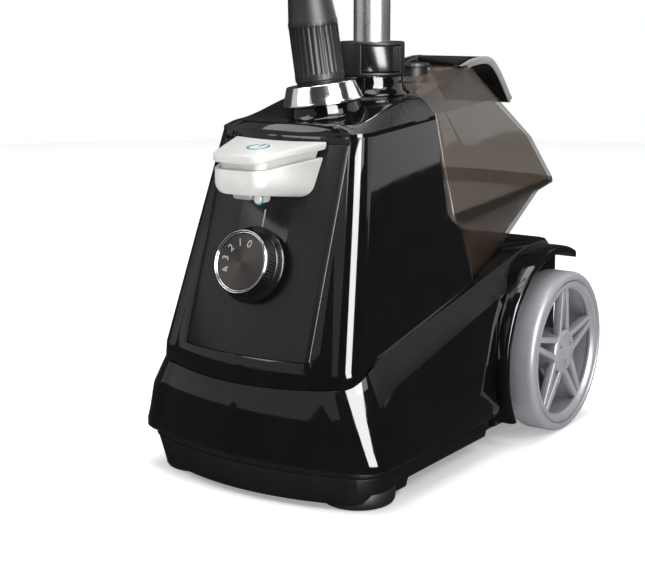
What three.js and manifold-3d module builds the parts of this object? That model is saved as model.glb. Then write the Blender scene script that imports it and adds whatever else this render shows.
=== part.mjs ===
// Upright garment steamer: wheeled base with a lift-off water tank, telescopic pole, clothes hanger
// and a steam handset on a hose. Millimetres, +Z up, the front faces -Y, the floor is z = 0.
import * as THREE from 'three';
import { mergeVertices } from 'three/addons/utils/BufferGeometryUtils.js';
import Module from 'manifold-3d';

const wasm = await Module();
wasm.setup();

// ---------------------------------------------------------------- driving dimensions
const gap = 0.35;                 // clearance between touching pieces
const centreShift = -9.0;         // moves the whole object so that its box is centred on the origin

const base = {
  width: 107,                     // half width at the bottom lip
  front: -172,                    // foremost point of the bottom lip
  rear: 142,
  bow: 22,                        // how far the front face curves forward in plan
  corner: 20,
  skirtTop: 30,
  skirtBottom: 4,
  floor: 12,
  wall: 3,
};
const belt = {
  lowFront: 76, highFront: 97, lowSlope: 0.245, highSlope: 0.215, lowWidth: 95, highWidth: 86,
  level: 98,                      // the belt line stops rising here
};
const housing = {
  front: -118, frontLean: 0.33, topWidth: 63, bottomWidth: 84.5, topFront: 252.5, topRear: 260.5,
};
const panel = { half: 54, top: 246, bottom: 103, thick: 2.6 };
const deck = { width: 50, front: -115, z: 259, rise: 14, rear: -9.7, boss: 33.5 };
const port = {
  y: -65, z: 271.5, lean: [-0.107, -0.073, 0.99], hole: 13.6, rim: 29.5, tube: 15.2, tubeEnd: 22, cuffEnd: 94,
};
const wheel = { radius: 65, y: 107, inner: 94.3, outer: 121.8, housing: 85.5 };
const tank = { ridge: 76, tip: 190, lift: 0.9, wall: 2.5, capY: 62, valveHole: 8.5, capHole: 11.5 };
const tankHandle = { half: 32, rail: 8, front: 82, plateFront: 107, thick: 5.5, foot: 291.8 };
const knob = { z: 163, radius: 23, face: 21.7, length: 16.5, flange: 27 };
const pedal = {
  rear: -118, front: -171, rearHalf: 39, frontHalf: 20, rearTop: 248, frontTop: 241, plate: 5,
  trayTop: -10.2, trayFrontDepth: -26, trayRearDepth: -38.5,
};
const pole = {
  socketFloor: 240,
  lower: { r: 14, bottom: 243.6, top: 665 },
  middle: { r: 11.75, bottom: 480, top: 927 },
  upper: { r: 9, bottom: 725, top: 1430 },
  wall: 1.2,
};
const hub = { bottom: 1344, top: 1495, sleeve: 11.5, half: 40, thick: 14, pinX: 30, pinZ: 1464 };
const arm = { reach: 234, tipZ: 1368, half: 6 };
const rod = { z: 1398, near: 62, far: 186, radius: 2 };
const clipX = 115;
const handset = { y: -47, bottom: 1421, neck: 1566, headZ: 1608, headHalf: 82 };
const hose = { radius: 6.5, guard: 11, cuff: 18, guardEnd: 165, lowerEnd: 648, middleEnd: 1096 };

// The hose route, from the top of its cuff to the handset: out of the guard, round a wide bend
// beside the pole and up to the grip.
const hoseRoute = [
  [-10, -72, 365], [-13.5, -74.5, 398], [-13, -75, 430], [-6, -73, 461], [9, -69, 490], [33, -62, 514],
  [68, -54, 534], [108, -47, 553], [150, -42, 576], [190, -38, 606], [226, -34, 648],
  [250, -31, 700], [251, -29, 750], [238, -27, 806], [214, -26, 862], [184, -25, 919],
  [152, -25, 976], [121, -26, 1033], [92, -28, 1090], [64, -31, 1147], [40, -35, 1205],
  [20, -39, 1265], [7, -44, 1326], [1, -47, 1378], [0, -47, 1419],
];

// ---------------------------------------------------------------- finishes
const finish = (color, roughness, metalness = 0, extra = {}) =>
  new THREE.MeshStandardMaterial({ color, roughness, metalness, ...extra });
const glossBlack = finish(0x08080a, 0.08);
const satinBlack = finish(0x222326, 0.4);
const matteBlack = finish(0x17181a, 0.6);
const silverPlastic = finish(0x9c9ba3, 0.38);
const brushedSteel = finish(0xc9c7c2, 0.3, 0.9);
const chrome = finish(0xd8dade, 0.06, 1);
const aluminium = finish(0xc4c6c9, 0.28, 0.95);
const smokedClear = finish(0x5a4a40, 0.08, 0, { transparent: true, opacity: 0.55 });
const whitePlastic = finish(0xe4e3df, 0.3);
const braid = finish(0xc8c8c4, 0.7);
const rubber = finish(0x111112, 0.8);

// ---------------------------------------------------------------- solids
const steamer = new THREE.Group();
steamer.position.y = centreShift;

function add(name, geometry, material) {
  const mesh = new THREE.Mesh(geometry, material);
  mesh.name = name;
  steamer.add(mesh);
}

function toSolid(geometry) {
  const bare = geometry.clone();
  bare.deleteAttribute('normal');
  bare.deleteAttribute('uv');
  const merged = mergeVertices(bare, 1e-4);
  return new wasm.Manifold(new wasm.Mesh({
    numProp: 3,
    vertProperties: new Float32Array(merged.attributes.position.array),
    triVerts: new Uint32Array(merged.index.array),
  }));
}

function toGeometry(solid) {
  const mesh = solid.getMesh();
  const geometry = new THREE.BufferGeometry();
  geometry.setAttribute('position', new THREE.BufferAttribute(new Float32Array(mesh.vertProperties), 3));
  geometry.setIndex(new THREE.BufferAttribute(new Uint32Array(mesh.triVerts), 1));
  return geometry;
}

const minus = (first, ...rest) =>
  toGeometry(rest.reduce((solid, other) => solid.subtract(toSolid(other)), toSolid(first)));
const plus = (first, ...rest) =>
  toGeometry(rest.reduce((solid, other) => solid.add(toSolid(other)), toSolid(first)));
const common = (first, second) => toGeometry(toSolid(first).intersect(toSolid(second)));

function box(x0, x1, y0, y1, z0, z1) {
  return new THREE.BoxGeometry(x1 - x0, y1 - y0, z1 - z0)
    .translate((x0 + x1) / 2, (y0 + y1) / 2, (z0 + z1) / 2);
}

// A round bar between two points.
function bar(radius, from, to, sides = 16) {
  const start = new THREE.Vector3(...from);
  const along = new THREE.Vector3(...to).sub(start);
  const upright = new THREE.Vector3(0, 1, 0);
  const turn = new THREE.Quaternion().setFromUnitVectors(upright, along.clone().normalize());
  return new THREE.CylinderGeometry(radius, radius, along.length(), sides)
    .applyQuaternion(turn).translate(...start.addScaledVector(along, 0.5).toArray());
}

// A closed [radius, height] profile turned about the Z axis.
function turned(profile, sides = 20) {
  const closed = [...profile, profile[0]].map(([r, z]) => new THREE.Vector2(r, z));
  return new THREE.LatheGeometry(closed, sides).rotateX(Math.PI / 2);
}

const ring = (inner, outer, z0, z1, sides = 20) =>
  turned([[inner, z0], [outer, z0], [outer, z1], [inner, z1]], sides);
const disc = (radius, z0, z1, sides = 20) => ring(0, radius, z0, z1, sides);

// A round piece turned about the X axis, for wheels and their housings.
const turnedAboutX = (profile, sides) =>
  turned(profile, sides).rotateY(Math.PI / 2).translate(0, wheel.y, wheel.radius);

// A closed body skinned through rings of equal point count, each anticlockwise seen from above
// when the rings are listed upwards.
function loft(rings) {
  const count = rings[0].length;
  const positions = rings.flat().flat();
  const index = [];
  for (let k = 0; k + 1 < rings.length; k += 1) {
    for (let i = 0; i < count; i += 1) {
      const a = k * count + i;
      const b = k * count + (i + 1) % count;
      index.push(a, b, b + count, a, b + count, a + count);
    }
  }
  [rings[0], rings.at(-1)].forEach((end, last) => {
    const centre = positions.length / 3;
    positions.push(...[0, 1, 2].map((axis) => end.reduce((sum, p) => sum + p[axis], 0) / count));
    const start = last ? (rings.length - 1) * count : 0;
    for (let i = 0; i < count; i += 1) {
      const pair = [start + i, start + (i + 1) % count];
      index.push(centre, ...(last ? pair : pair.reverse()));
    }
  });
  const geometry = new THREE.BufferGeometry();
  geometry.setAttribute('position', new THREE.Float32BufferAttribute(positions, 3));
  geometry.setIndex(index);
  return geometry;
}

// A prism of a [y, z] outline between two X planes.
function profileAlongX(points, x0, x1) {
  const shape = new THREE.Shape(points.map(([y, z]) => new THREE.Vector2(y, z)));
  return new THREE.ExtrudeGeometry(shape, { depth: x1 - x0, bevelEnabled: false })
    .rotateX(Math.PI / 2).rotateZ(Math.PI / 2).translate(x0, 0, 0);
}

// A prism of an [x, z] outline between two Y planes.
function profileAlongY(points, y0, y1) {
  const shape = new THREE.Shape(points.map(([x, z]) => new THREE.Vector2(x, z)));
  return new THREE.ExtrudeGeometry(shape, { depth: y1 - y0, bevelEnabled: false })
    .rotateX(Math.PI / 2).translate(0, y1, 0);
}

const smoothCurve = (points) =>
  new THREE.CatmullRomCurve3(points.map((p) => new THREE.Vector3(...p)), false, 'centripetal');

// A solid round tube of the given number of sides along a smooth curve.
function tube(points, radius, sides, steps) {
  const section = Array.from({ length: sides }, (_, i) => {
    const angle = 2 * Math.PI * i / sides;
    return new THREE.Vector2(radius * Math.cos(angle), radius * Math.sin(angle));
  });
  const extrudePath = smoothCurve(points);
  return new THREE.ExtrudeGeometry(new THREE.Shape(section), { steps, extrudePath, bevelEnabled: false });
}

// The same body on the other side of the middle plane.
function mirrored(geometry) {
  const copy = mergeVertices(geometry.clone().deleteAttribute('normal').deleteAttribute('uv'), 1e-4);
  copy.scale(-1, 1, 1);
  const index = copy.index.array;
  for (let i = 0; i < index.length; i += 3) [index[i], index[i + 1]] = [index[i + 1], index[i]];
  return copy;
}

const mix = (a, b, t) => a + (b - a) * t;
const ramp = (t) => THREE.MathUtils.smoothstep(t, 0, 1);

// Plan outline of the body: bowed front, rounded front corners, sides that may taper to the rear
// and a rear face with a bow of its own. level(y) gives the height of each point.
function plan({ width, rearWidth = width, front, rear, bow, corner, rearBow = 0, rearCorner = 6 }, level) {
  const right = [];
  const across = 5;
  for (let i = 0; i <= across; i += 1) {
    const x = (width - corner) * i / across;
    right.push([x, front + bow * (x / width) ** 2]);
  }
  const [cornerX, cornerY] = right.at(-1);
  const slope = 2 * bow * cornerX / width ** 2;
  const drop = corner * (0.8 + slope);
  for (const angle of [0.36, 0.7, 1].map((part) => part * Math.PI / 2)) {
    right.push([cornerX + corner * Math.sin(angle), cornerY + drop * (1 - Math.cos(angle))]);
  }
  right.push([mix(width, rearWidth, 0.5), mix(cornerY + drop, rear, 0.5)]);
  right.push([rearWidth, rear - rearCorner - rearBow]);
  right.push([rearWidth - rearCorner, rear - rearBow * 0.9]);
  right.push([rearWidth * 0.45, rear - rearBow * 0.25]);
  const left = right.slice(1).reverse().map(([x, y]) => [-x, y]);
  return [...right, [0, rear], ...left].map(([x, y]) => [x, y, level(y)]);
}

// ---------------------------------------------------------------- body surfaces
const beltRun = (y) => Math.min(y, belt.level) + 150;
const beltLow = (y) => belt.lowFront + belt.lowSlope * beltRun(y);
const beltHigh = (y) => belt.highFront + belt.highSlope * beltRun(y);
const faceY = (z) => housing.front - housing.frontLean * (housing.topFront - z);
const deckLevel = (y) => deck.z + deck.rise * ramp((y + 103) / 80);

// The seam where the housing's back meets the tank, leaning back towards the bottom.
const seam = [{ z: 131, y: 16 }, { z: 172, y: 13 }, { z: 187, y: -4 }, { z: 262, y: -9 }];
function seamY(z) {
  const above = Math.max(1, seam.findIndex((point) => point.z >= z));
  const [low, high] = [seam[above - 1], seam[above]];
  return mix(low.y, high.y, THREE.MathUtils.clamp((z - low.z) / (high.z - low.z), 0, 1));
}

// Stands a piece turned about Z on the hose port, which leans a little to the front left.
const portTurn = new THREE.Quaternion()
  .setFromUnitVectors(new THREE.Vector3(0, 0, 1), new THREE.Vector3(...port.lean).normalize());
const onPort = (geometry) => geometry.applyQuaternion(portTurn).translate(0, port.y, port.z);

// The outside of the lower shell, drawn in by inset for its inside.
function lowerBody(inset, bottom, drop) {
  const at = (width, front, bow) => ({
    width: width - inset, front: front + inset, rear: base.rear - inset, bow, corner: base.corner,
    rearCorner: 14,
  });
  return loft([
    plan(at(base.width, base.front, base.bow), () => bottom),
    plan(at(base.width, base.front, base.bow), () => base.skirtTop + 7),
    plan(at(base.width - 4, base.front + 1.5, base.bow), () => 46),
    plan(at(belt.lowWidth, base.front + 3, 20), (y) => beltLow(y) - drop * 0.5),
    plan(at(belt.highWidth, faceY(belt.highFront) - 1, 19), (y) => beltHigh(y) - drop),
  ]);
}

// The outside of the upper housing, drawn in by inset for its inside.
function upperBody(inset, frontInset, sink = 0) {
  const at = (width, z, rear, bow) => ({
    width: width - inset, front: faceY(z) + frontInset, rear: rear - gap - inset, bow, corner: 13,
    rearCorner: 3,
  });
  const widthAt = (z) => mix(housing.bottomWidth, housing.topWidth, (z - 97) / 158);
  return loft([
    plan(at(housing.bottomWidth, belt.highFront, 16, 19), (y) => beltHigh(y) + gap - sink),
    plan(at(widthAt(172), 172, seamY(172), 16), () => 172),
    plan(at(widthAt(187), 187, seamY(187), 15.5), () => 187),
    plan(at(housing.topWidth, housing.topFront, seamY(262), 13),
      (y) => mix(housing.topFront, housing.topRear, (y + 118) / 110) + (sink ? 1 : 0)),
  ]);
}

const besideWheels = (z0, z1) => [
  box(wheel.inner - 6.3, 140, 18, 200, z0, z1),
  box(-140, -wheel.inner + 6.3, 18, 200, z0, z1),
];

// ---------------------------------------------------------------- base
function buildBase() {
  const skirt = (inset, z0, z1) => loft([
    plan({ width: 93 - inset, front: -166 + inset, rear: 146 - inset, bow: 21, corner: 20 }, () => z0),
    plan({ width: 99 - inset, front: -169.5 + inset, rear: 148 - inset, bow: 21, corner: 20 }, () => z1),
  ]);
  const footX = 71;
  const footY = -125;
  const footTop = base.floor - gap;
  const foot = turned([[0, 0], [24, 0], [26, 2.5], [26.5, 8], [26.5, footTop], [0, footTop]]);
  const footWell = disc(27, -1, base.floor);
  add('base_pan', minus(
    skirt(0, base.skirtBottom, base.skirtTop),
    skirt(base.wall, base.floor + base.wall, base.skirtTop + 1),
    box(-120, 120, -96, 160, -1, base.floor),
    box(-88, 88, -140, -90, -1, base.floor),
    footWell.clone().translate(footX, footY, 0),
    footWell.clone().translate(-footX, footY, 0),
    ...besideWheels(-1, 40),
  ), matteBlack);
  add('front_foot_right', foot.clone().translate(footX, footY, 0), matteBlack);
  add('front_foot_left', foot.clone().translate(-footX, footY, 0), matteBlack);

  const { y, radius } = wheel;
  const wheelWell = bar(wheel.housing + gap, [wheel.inner - 6.2, y, radius], [150, y, radius], 28);
  const lower = minus(
    lowerBody(0, base.skirtTop + gap, 0),
    lowerBody(base.wall, base.skirtTop - 1, 3.2),
    loft([
      plan({ width: 80, front: -150, rear: 11, bow: 18, corner: 12 }, () => 60),
      plan({ width: 80, front: -150, rear: 11, bow: 18, corner: 12 }, () => 200),
    ]),
    wheelWell,
    mirrored(wheelWell),
    bar(13, [0, 62, 100], [0, 62, 200]),
    bar(9, [42, base.rear - 10, 52], [42, base.rear + 10, 52]),
    ...besideWheels(0, wheel.radius),
  );
  add('lower_shell', lower, glossBlack);

  // Wheel housings: a round inner wall with a barrel over the front and top of the wheel.
  const r = wheel.housing;
  const wall = turnedAboutX([[5.5, 88.4], [r - 0.2, 88.4], [r - 0.2, 91.4], [5.5, 91.4]], 28);
  const barrel = turnedAboutX([[r - 6, 90], [r - 0.2, 90], [r - 0.8, 106], [r - 2.5, 110], [r - 6, 110]], 28);
  const open = profileAlongX([
    [wheel.y - 30, wheel.radius - 40], [wheel.y, wheel.radius], [wheel.y + 96, wheel.radius + 114],
    [260, 200], [260, -50], [-50, -50], [-50, base.skirtTop - 10], [wheel.y - 30, base.skirtTop - 10],
  ], 91.5, 130);
  const house = minus(plus(wall, barrel), open, box(60, 140, -50, 260, -50, base.floor + 2),
    box(60, 140, base.rear - 0.5, 260, -50, 300));
  add('wheel_housing_right', house, glossBlack);
  add('wheel_housing_left', mirrored(house), glossBlack);

  add('cord_inlet', plus(
    bar(12, [42, base.rear + gap, 52], [42, base.rear + 3, 52], 24),
    bar(8.5, [42, base.rear - 12, 52], [42, base.rear + 8, 52], 24),
  ), matteBlack);
}

function buildUpperBase() {
  const panelZone = box(-panel.half, panel.half, -200, -80, panel.bottom, panel.top);
  const recessZone = box(-panel.half - gap, panel.half + gap, -200, -80, panel.bottom - gap, panel.top + gap);
  const skin = common(minus(upperBody(0, 0), upperBody(0, panel.thick, 20)), panelZone);
  const recess = common(minus(upperBody(-5, -5), upperBody(0, panel.thick + gap, 20)), recessZone);
  const shaftY = faceY(knob.z);
  const shaftHole = bar(6, [0, shaftY - 20, knob.z], [0, shaftY + 30, knob.z]);
  const socketHole = bar(27.5, [0, 0, 200], [0, 0, 300], 22);
  add('upper_housing', minus(
    upperBody(0, 0), upperBody(3, 6, 6), recess, shaftHole, socketHole,
    box(-30, 30, -60, 40, 236, 300),
    box(-26, 26, -160, -112, 222, 234),
  ), glossBlack);
  add('front_panel', minus(skin, shaftHole, box(-24, 24, -160, -100, 224, 232)), satinBlack);

  const lowerRim = (y) => mix(housing.topFront, housing.topRear, (y + 118) / 110) + gap;
  const cap = (inset, drop) => loft([
    plan({
      width: housing.topWidth + 0.4 - inset, front: housing.front - 0.5 + inset, rear: deck.rear - inset,
      bow: 13, corner: 13, rearCorner: 2,
    }, (y) => lowerRim(y) - (drop ? 1 : 0)),
    plan({
      width: deck.width - inset, front: deck.front + inset, rear: deck.rear - inset,
      bow: 9, corner: 12, rearCorner: 2,
    }, (y) => deckLevel(y) - drop),
  ]);
  const boss = disc(deck.boss, 262, deck.z + deck.rise, 22);
  const neck = onPort(turned([[0, -12], [27, -12], [25.5, -6], [25.5, -1.9], [0, -1.9]], 22));
  add('top_deck', minus(
    plus(minus(cap(0, 0), cap(3, 3)), common(boss, box(-60, 60, -12, 60, 200, 300)), neck),
    bar(27.5, [0, 0, 200], [0, 0, 300], 22),
    onPort(disc(port.hole, -40, 20)),
  ), glossBlack);
  add('hose_port_collar', onPort(turned([
    [17.8, -1.5], [port.rim, -1.5], [port.rim, 0.5], [25.2, 12.6], [24.4, 13], [17.8, 13],
  ], 22)), chrome);
  add('hose_port_spigot', onPort(turned([
    [12, -14], [13.2, -14], [13.2, -1.5 - gap], [17.4, -1.5 - gap], [17.4, 15], [port.tube, 15.6],
    [port.tube, port.tubeEnd], [12, port.tubeEnd],
  ])), matteBlack);

  const socketTop = 287.1;
  add('pole_socket', minus(turned([
    [0, pole.socketFloor], [27, pole.socketFloor], [27, 273], [29.5, 273.4], [28.5, 275.5], [25, 279],
    [24, socketTop], [pole.lower.r + gap, socketTop], [pole.lower.r + gap, pole.lower.bottom - gap],
    [0, pole.lower.bottom - gap],
  ], 22), bar(2.4, [-40, -23, 281.5], [-40, -23, 281.6])), glossBlack);
}

// A ring clamp with a curved lever let into its outside. Angles run from -Y towards +X.
function buildClamp(name, leverName, { inner, outer, z0, z1, from, to, sleeve }) {
  const arc = (radius, angle) => new THREE.Vector2(radius * Math.sin(angle), -radius * Math.cos(angle));
  const sector = (r0, r1, a0, a1, base, top) => {
    const steps = 7;
    const angles = Array.from({ length: steps + 1 }, (_, i) => mix(a0, a1, i / steps));
    const outline = [...angles.map((a) => arc(r1, a)), ...angles.reverse().map((a) => arc(r0, a))];
    return new THREE.ExtrudeGeometry(new THREE.Shape(outline), { depth: top - base, bevelEnabled: false })
      .translate(0, 0, base);
  };
  const margin = gap / outer;
  const [low, high] = [z0 + 3, z1 - 3];
  const pocket = sector(outer - 4 - gap, outer + 3, from - 2 * margin, to + margin, low - gap, high + gap);
  let body = ring(inner, outer, z0, z1, 22);
  if (sleeve) body = minus(body, disc(sleeve.radius, z0 - 1, sleeve.top, 22));
  add(name, minus(body, pocket), satinBlack);
  const grip = sector(outer - 1, outer + 1.6, mix(from, to, 0.72), to, low, high);
  add(leverName, plus(sector(outer - 4, outer + 0.3, from, to, low, high), grip), matteBlack);
}

// ---------------------------------------------------------------- controls
function buildControls() {
  const faceTilt = Math.PI / 2 - Math.atan(housing.frontLean);
  const onFace = (geometry) => geometry.rotateX(faceTilt).translate(0, faceY(knob.z) - 1.2, knob.z);
  const { radius, face, length, flange } = knob;
  const shaftEnd = 10;
  add('selector_knob', onFace(turned([
    [3.4, 2], [flange, 2], [flange, 4.4], [radius, 6], [radius - 0.8, length - 1], [radius - 1.6, length],
    [face - 1.6, length], [face - 1.6, length - 2.4], [0, length - 2.4], [0, shaftEnd], [3.4, shaftEnd],
  ], 22)), matteBlack);
  add('knob_dial', onFace(turned([[0, length - 2], [face - 2, length - 2], [face - 2, length - 0.9],
    [face - 3, length - 0.5], [0, length - 0.5]], 22)), silverPlastic);
  add('selector_switch', onFace(plus(
    turned([[0, -26], [3, -26], [3, shaftEnd - gap], [0, shaftEnd - gap]], 16),
    box(-14, 14, -14, 14, -30, -14),
  )), matteBlack);

  // Foot switch: a plate that tilts at its rear edge, over a fixed tray that deepens to the rear.
  // A tongue is a block of the switch's outline between two heights below the plate's top face.
  const tongue = (inset, top, bottom, rearBottom = bottom) => {
    const row = (y, half, low, high) => [[-half, y, low], [half, y, low], [half, y, high], [-half, y, high]];
    const tip = pedal.front + inset;
    const stations = [[pedal.rear + 34, 1], [pedal.rear, 1], [tip + 8, 1], [tip + 2.5, 0.9], [tip, 0.72]];
    return loft(stations.map(([y, narrow]) => {
      const run = Math.max(0, (y - pedal.rear) / (pedal.front - pedal.rear));
      const height = mix(pedal.rearTop, pedal.frontTop, run);
      const half = mix(pedal.rearHalf, pedal.frontHalf, run) - inset;
      return row(y, half * narrow, height + mix(rearBottom, bottom, run), height + top);
    }));
  };
  const { plate, trayTop, trayFrontDepth, trayRearDepth } = pedal;
  const behind = upperBody(-0.9, -0.9, 10);
  const pin = { x: 12.5, z: 211.6, radius: 3.2 };
  const lug = plus(
    box(-8.5, 8.5, -163, -151, 210.3, 218),
    bar(pin.radius, [pin.x, -161, pin.z], [pin.x, -150, pin.z], 12),
  );
  add('foot_switch_body', minus(
    plus(tongue(0.8, trayTop, trayFrontDepth, trayRearDepth), lug),
    tongue(3.6, 0, trayFrontDepth + 4, trayRearDepth + 4), behind,
  ), brushedSteel);
  const front = upperBody(-2.2, -2.2, 10);
  const hollow = tongue(7, -plate, trayTop - 8);
  add('foot_switch_plate', minus(
    plus(tongue(0, 0, -plate), tongue(4.4, -plate + 1, trayTop - 3)), front, hollow,
  ), brushedSteel);
  const springTurns = 4;
  const spring = { y: -150, z: 218.6, height: 18, radius: 5 };
  const coil = Array.from({ length: springTurns * 8 + 1 }, (_, i) => {
    const angle = 2 * Math.PI * i / 8;
    return [spring.radius * Math.cos(angle), spring.y + spring.radius * Math.sin(angle),
      spring.z + spring.height * i / (springTurns * 8)];
  });
  add('foot_switch_spring', tube(coil, 0.7, 5, springTurns * 8), brushedSteel);
  add('foot_switch_contact', box(-15, 15, -139, -132, 217.6, 232), rubber);
}

// ---------------------------------------------------------------- inside the base
function buildInside() {
  const boilerFloor = base.floor + base.wall + gap;
  add('boiler', turned([[0, boilerFloor], [36, boilerFloor], [40, 28], [40, 78], [30, 88], [0, 88]], 22)
    .translate(0, -72, 0), aluminium);
  add('heating_element', turned(Array.from({ length: 6 }, (_, i) => {
    const angle = Math.PI * 2 * i / 6;
    return [45 + 4 * Math.cos(angle), 40 + 4 * Math.sin(angle)];
  }), 22).translate(0, -72, 0), brushedSteel);
  const steamRoute = [[0, -72, 88.4], [0, -72, 130], [0, -64, 190], [0, -61, 230], [0, -62.2, 253]];
  const feedRoute = [[0, tank.capY, 122.5], [0, 60, 100], [0, 30, 66], [0, 0, 56], [0, -22, 55]];
  add('steam_pipe', tube(steamRoute, 5, 8, 16), rubber);
  add('feed_pipe', tube(feedRoute, 5, 8, 16), rubber);
  add('tank_seat', turned([[0, 123], [12.5, 123], [12.5, 139], [9.5, 139], [9.5, 127], [0, 127]], 24)
    .translate(0, tank.capY, 0), matteBlack);
  const end = wheel.outer - 3.4;
  const axle = bar(5, [-end, wheel.y, wheel.radius], [end, wheel.y, wheel.radius], 20);
  add('wheel_axle', axle, brushedSteel);
}

function buildWheels() {
  const { radius, inner, outer } = wheel;
  const tyre = turnedAboutX([[radius - 12, inner + 3], [radius - 3, inner], [radius - 0.8, inner + 2],
    [radius, inner + 5], [radius, outer - 5], [radius - 1.2, outer - 1.5], [radius - 4, outer],
    [radius - 6, outer], [radius - 7, outer - 1.5], [radius - 13, outer - 1.5]], 28);
  const bore = 5.35;
  const hubDisc = turnedAboutX([[bore, inner + 1], [17, inner + 1], [17, outer - 4], [15, outer - 2.5],
    [0, outer - 2.5], [0, outer - 2.4 - gap], [bore, outer - 2.4 - gap]], 20);
  const spokes = [];
  const armLength = radius - 12 - 12;
  for (let i = 0; i < 5; i += 1) {
    for (const side of [-1, 1]) {
      spokes.push(new THREE.BoxGeometry(7, 4.6, armLength)
        .translate(outer - 7, side * 8.5, 12 + armLength / 2)
        .rotateX(2 * Math.PI * i / 5 + side * 0.1)
        .translate(0, wheel.y, radius));
    }
  }
  const disc = turnedAboutX([[0, outer - 3], [16.5, outer - 3], [16.5, outer - 2.5], [0, outer - 2.5]], 20);
  const wheelBody = plus(tyre, hubDisc, disc, ...spokes);
  add('wheel_right', wheelBody, silverPlastic);
  add('wheel_left', mirrored(wheelBody), silverPlastic);
}

// ---------------------------------------------------------------- water tank
function buildTank() {
  const bottomLevel = (y) => beltHigh(y) + tank.lift;
  const rising = (front, rear, reach) => (y) => mix(front, rear, THREE.MathUtils.clamp(y / reach, 0, 1));
  const body = (inset) => {
    const level = (height, up) => (y) => height(y) + up;
    const ringAt = (width, rearWidth, z, rear, rearBow, rearCorner = 10) => ({
      width: width - inset, rearWidth: rearWidth - inset, front: seamY(z) + gap + inset, rear: rear - inset,
      bow: 0.01, corner: 3, rearBow, rearCorner,
    });
    return loft([
      plan(ringAt(79.5, 69, 132, 112, 7), level(bottomLevel, inset)),
      plan(ringAt(76, 70, 172, 171, 10), rising(172, 184, 165)),
      plan(ringAt(tank.ridge, 71, 187, tank.tip, 11), rising(187, 197, 178)),
      plan(ringAt(69.5, 63, 224, 168, 10, 16), rising(221, 232, 150)),
      plan(ringAt(62.5, 56, 262, 118, 9, 16), level(rising(261.5, 266.5, 95), -inset * 0.6)),
      plan(ringAt(48, 43, 262, 90, 5), level(rising(274, 291, 75), -inset)),
    ]);
  };
  const notch = bar(deck.boss + 0.8, [0, 0, 180], [0, 0, 320], 22);
  const thicker = bar(deck.boss + 3.3, [0, 0, 177.5], [0, 0, 320], 22);
  const hollow = minus(body(tank.wall), thicker);
  const { capY } = tank;
  add('water_tank', minus(
    body(0), hollow, notch,
    bar(tank.capHole, [0, capY, 240], [0, capY, 320], 22),
    bar(tank.valveHole, [0, capY, 120], [0, capY, 160], 24),
  ), smokedClear);
  const capProfile = [[0, 279], [11, 279], [11, 291.4], [13, 291.8], [13, 294], [11.6, 295], [0, 295]];
  add('tank_cap', turned(capProfile, 22).translate(0, capY, 0), matteBlack);
  const valveProfile = [[0, 131], [6, 131], [8, 140], [8, 149.6], [0, 149.6]];
  add('tank_valve', turned(valveProfile, 20).translate(0, capY, 0), matteBlack);

  // Carrying handle: two rails on the tank's top carry a plate that arches back and down behind it.
  const { half, rail, front, plateFront, thick, foot } = tankHandle;
  const path = [[front, 292.4], [102, 297.5], [130, 297.5], [143, 290.5], [172, 262]];
  const under = path.map(([y, z], i) => (i > 2 ? [y - 4.5, z - 3.5] : [y - 0.5, z - thick]));
  add('tank_handle', minus(
    profileAlongX([...path, ...under.reverse()], -half, half),
    box(rail - half, half - rail, 0, plateFront, 250, 320),
    box(-half - 1, half + 1, 0, 94, 250, foot),
  ), whitePlastic);
}

// ---------------------------------------------------------------- pole and hanger
function buildPole() {
  const pipe = ({ r, bottom, top }) => ring(r - pole.wall, r, bottom, top, 22);
  const { lower, middle, upper } = pole;
  add('pole_lower', pipe(lower), aluminium);
  add('pole_middle', pipe(middle), aluminium);
  add('pole_upper', pipe(upper), aluminium);
  const from = THREE.MathUtils.degToRad(16);
  const to = THREE.MathUtils.degToRad(92);
  const sleeveOn = (tubeBelow) => ({ radius: tubeBelow.r + gap, top: tubeBelow.top + gap });
  buildClamp('base_clamp', 'base_clamp_latch', {
    inner: lower.r + gap, outer: 25, z0: 287.5, z1: 313, from, to,
  });
  buildClamp('pole_clamp_lower', 'clamp_lever_lower', {
    inner: middle.r + gap, outer: 21, z0: 657, z1: 685, from, to, sleeve: sleeveOn(lower),
  });
  buildClamp('pole_clamp_upper', 'clamp_lever_upper', {
    inner: upper.r + gap, outer: 18.5, z0: 921, z1: 947, from, to, sleeve: sleeveOn(middle),
  });
}

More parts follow.
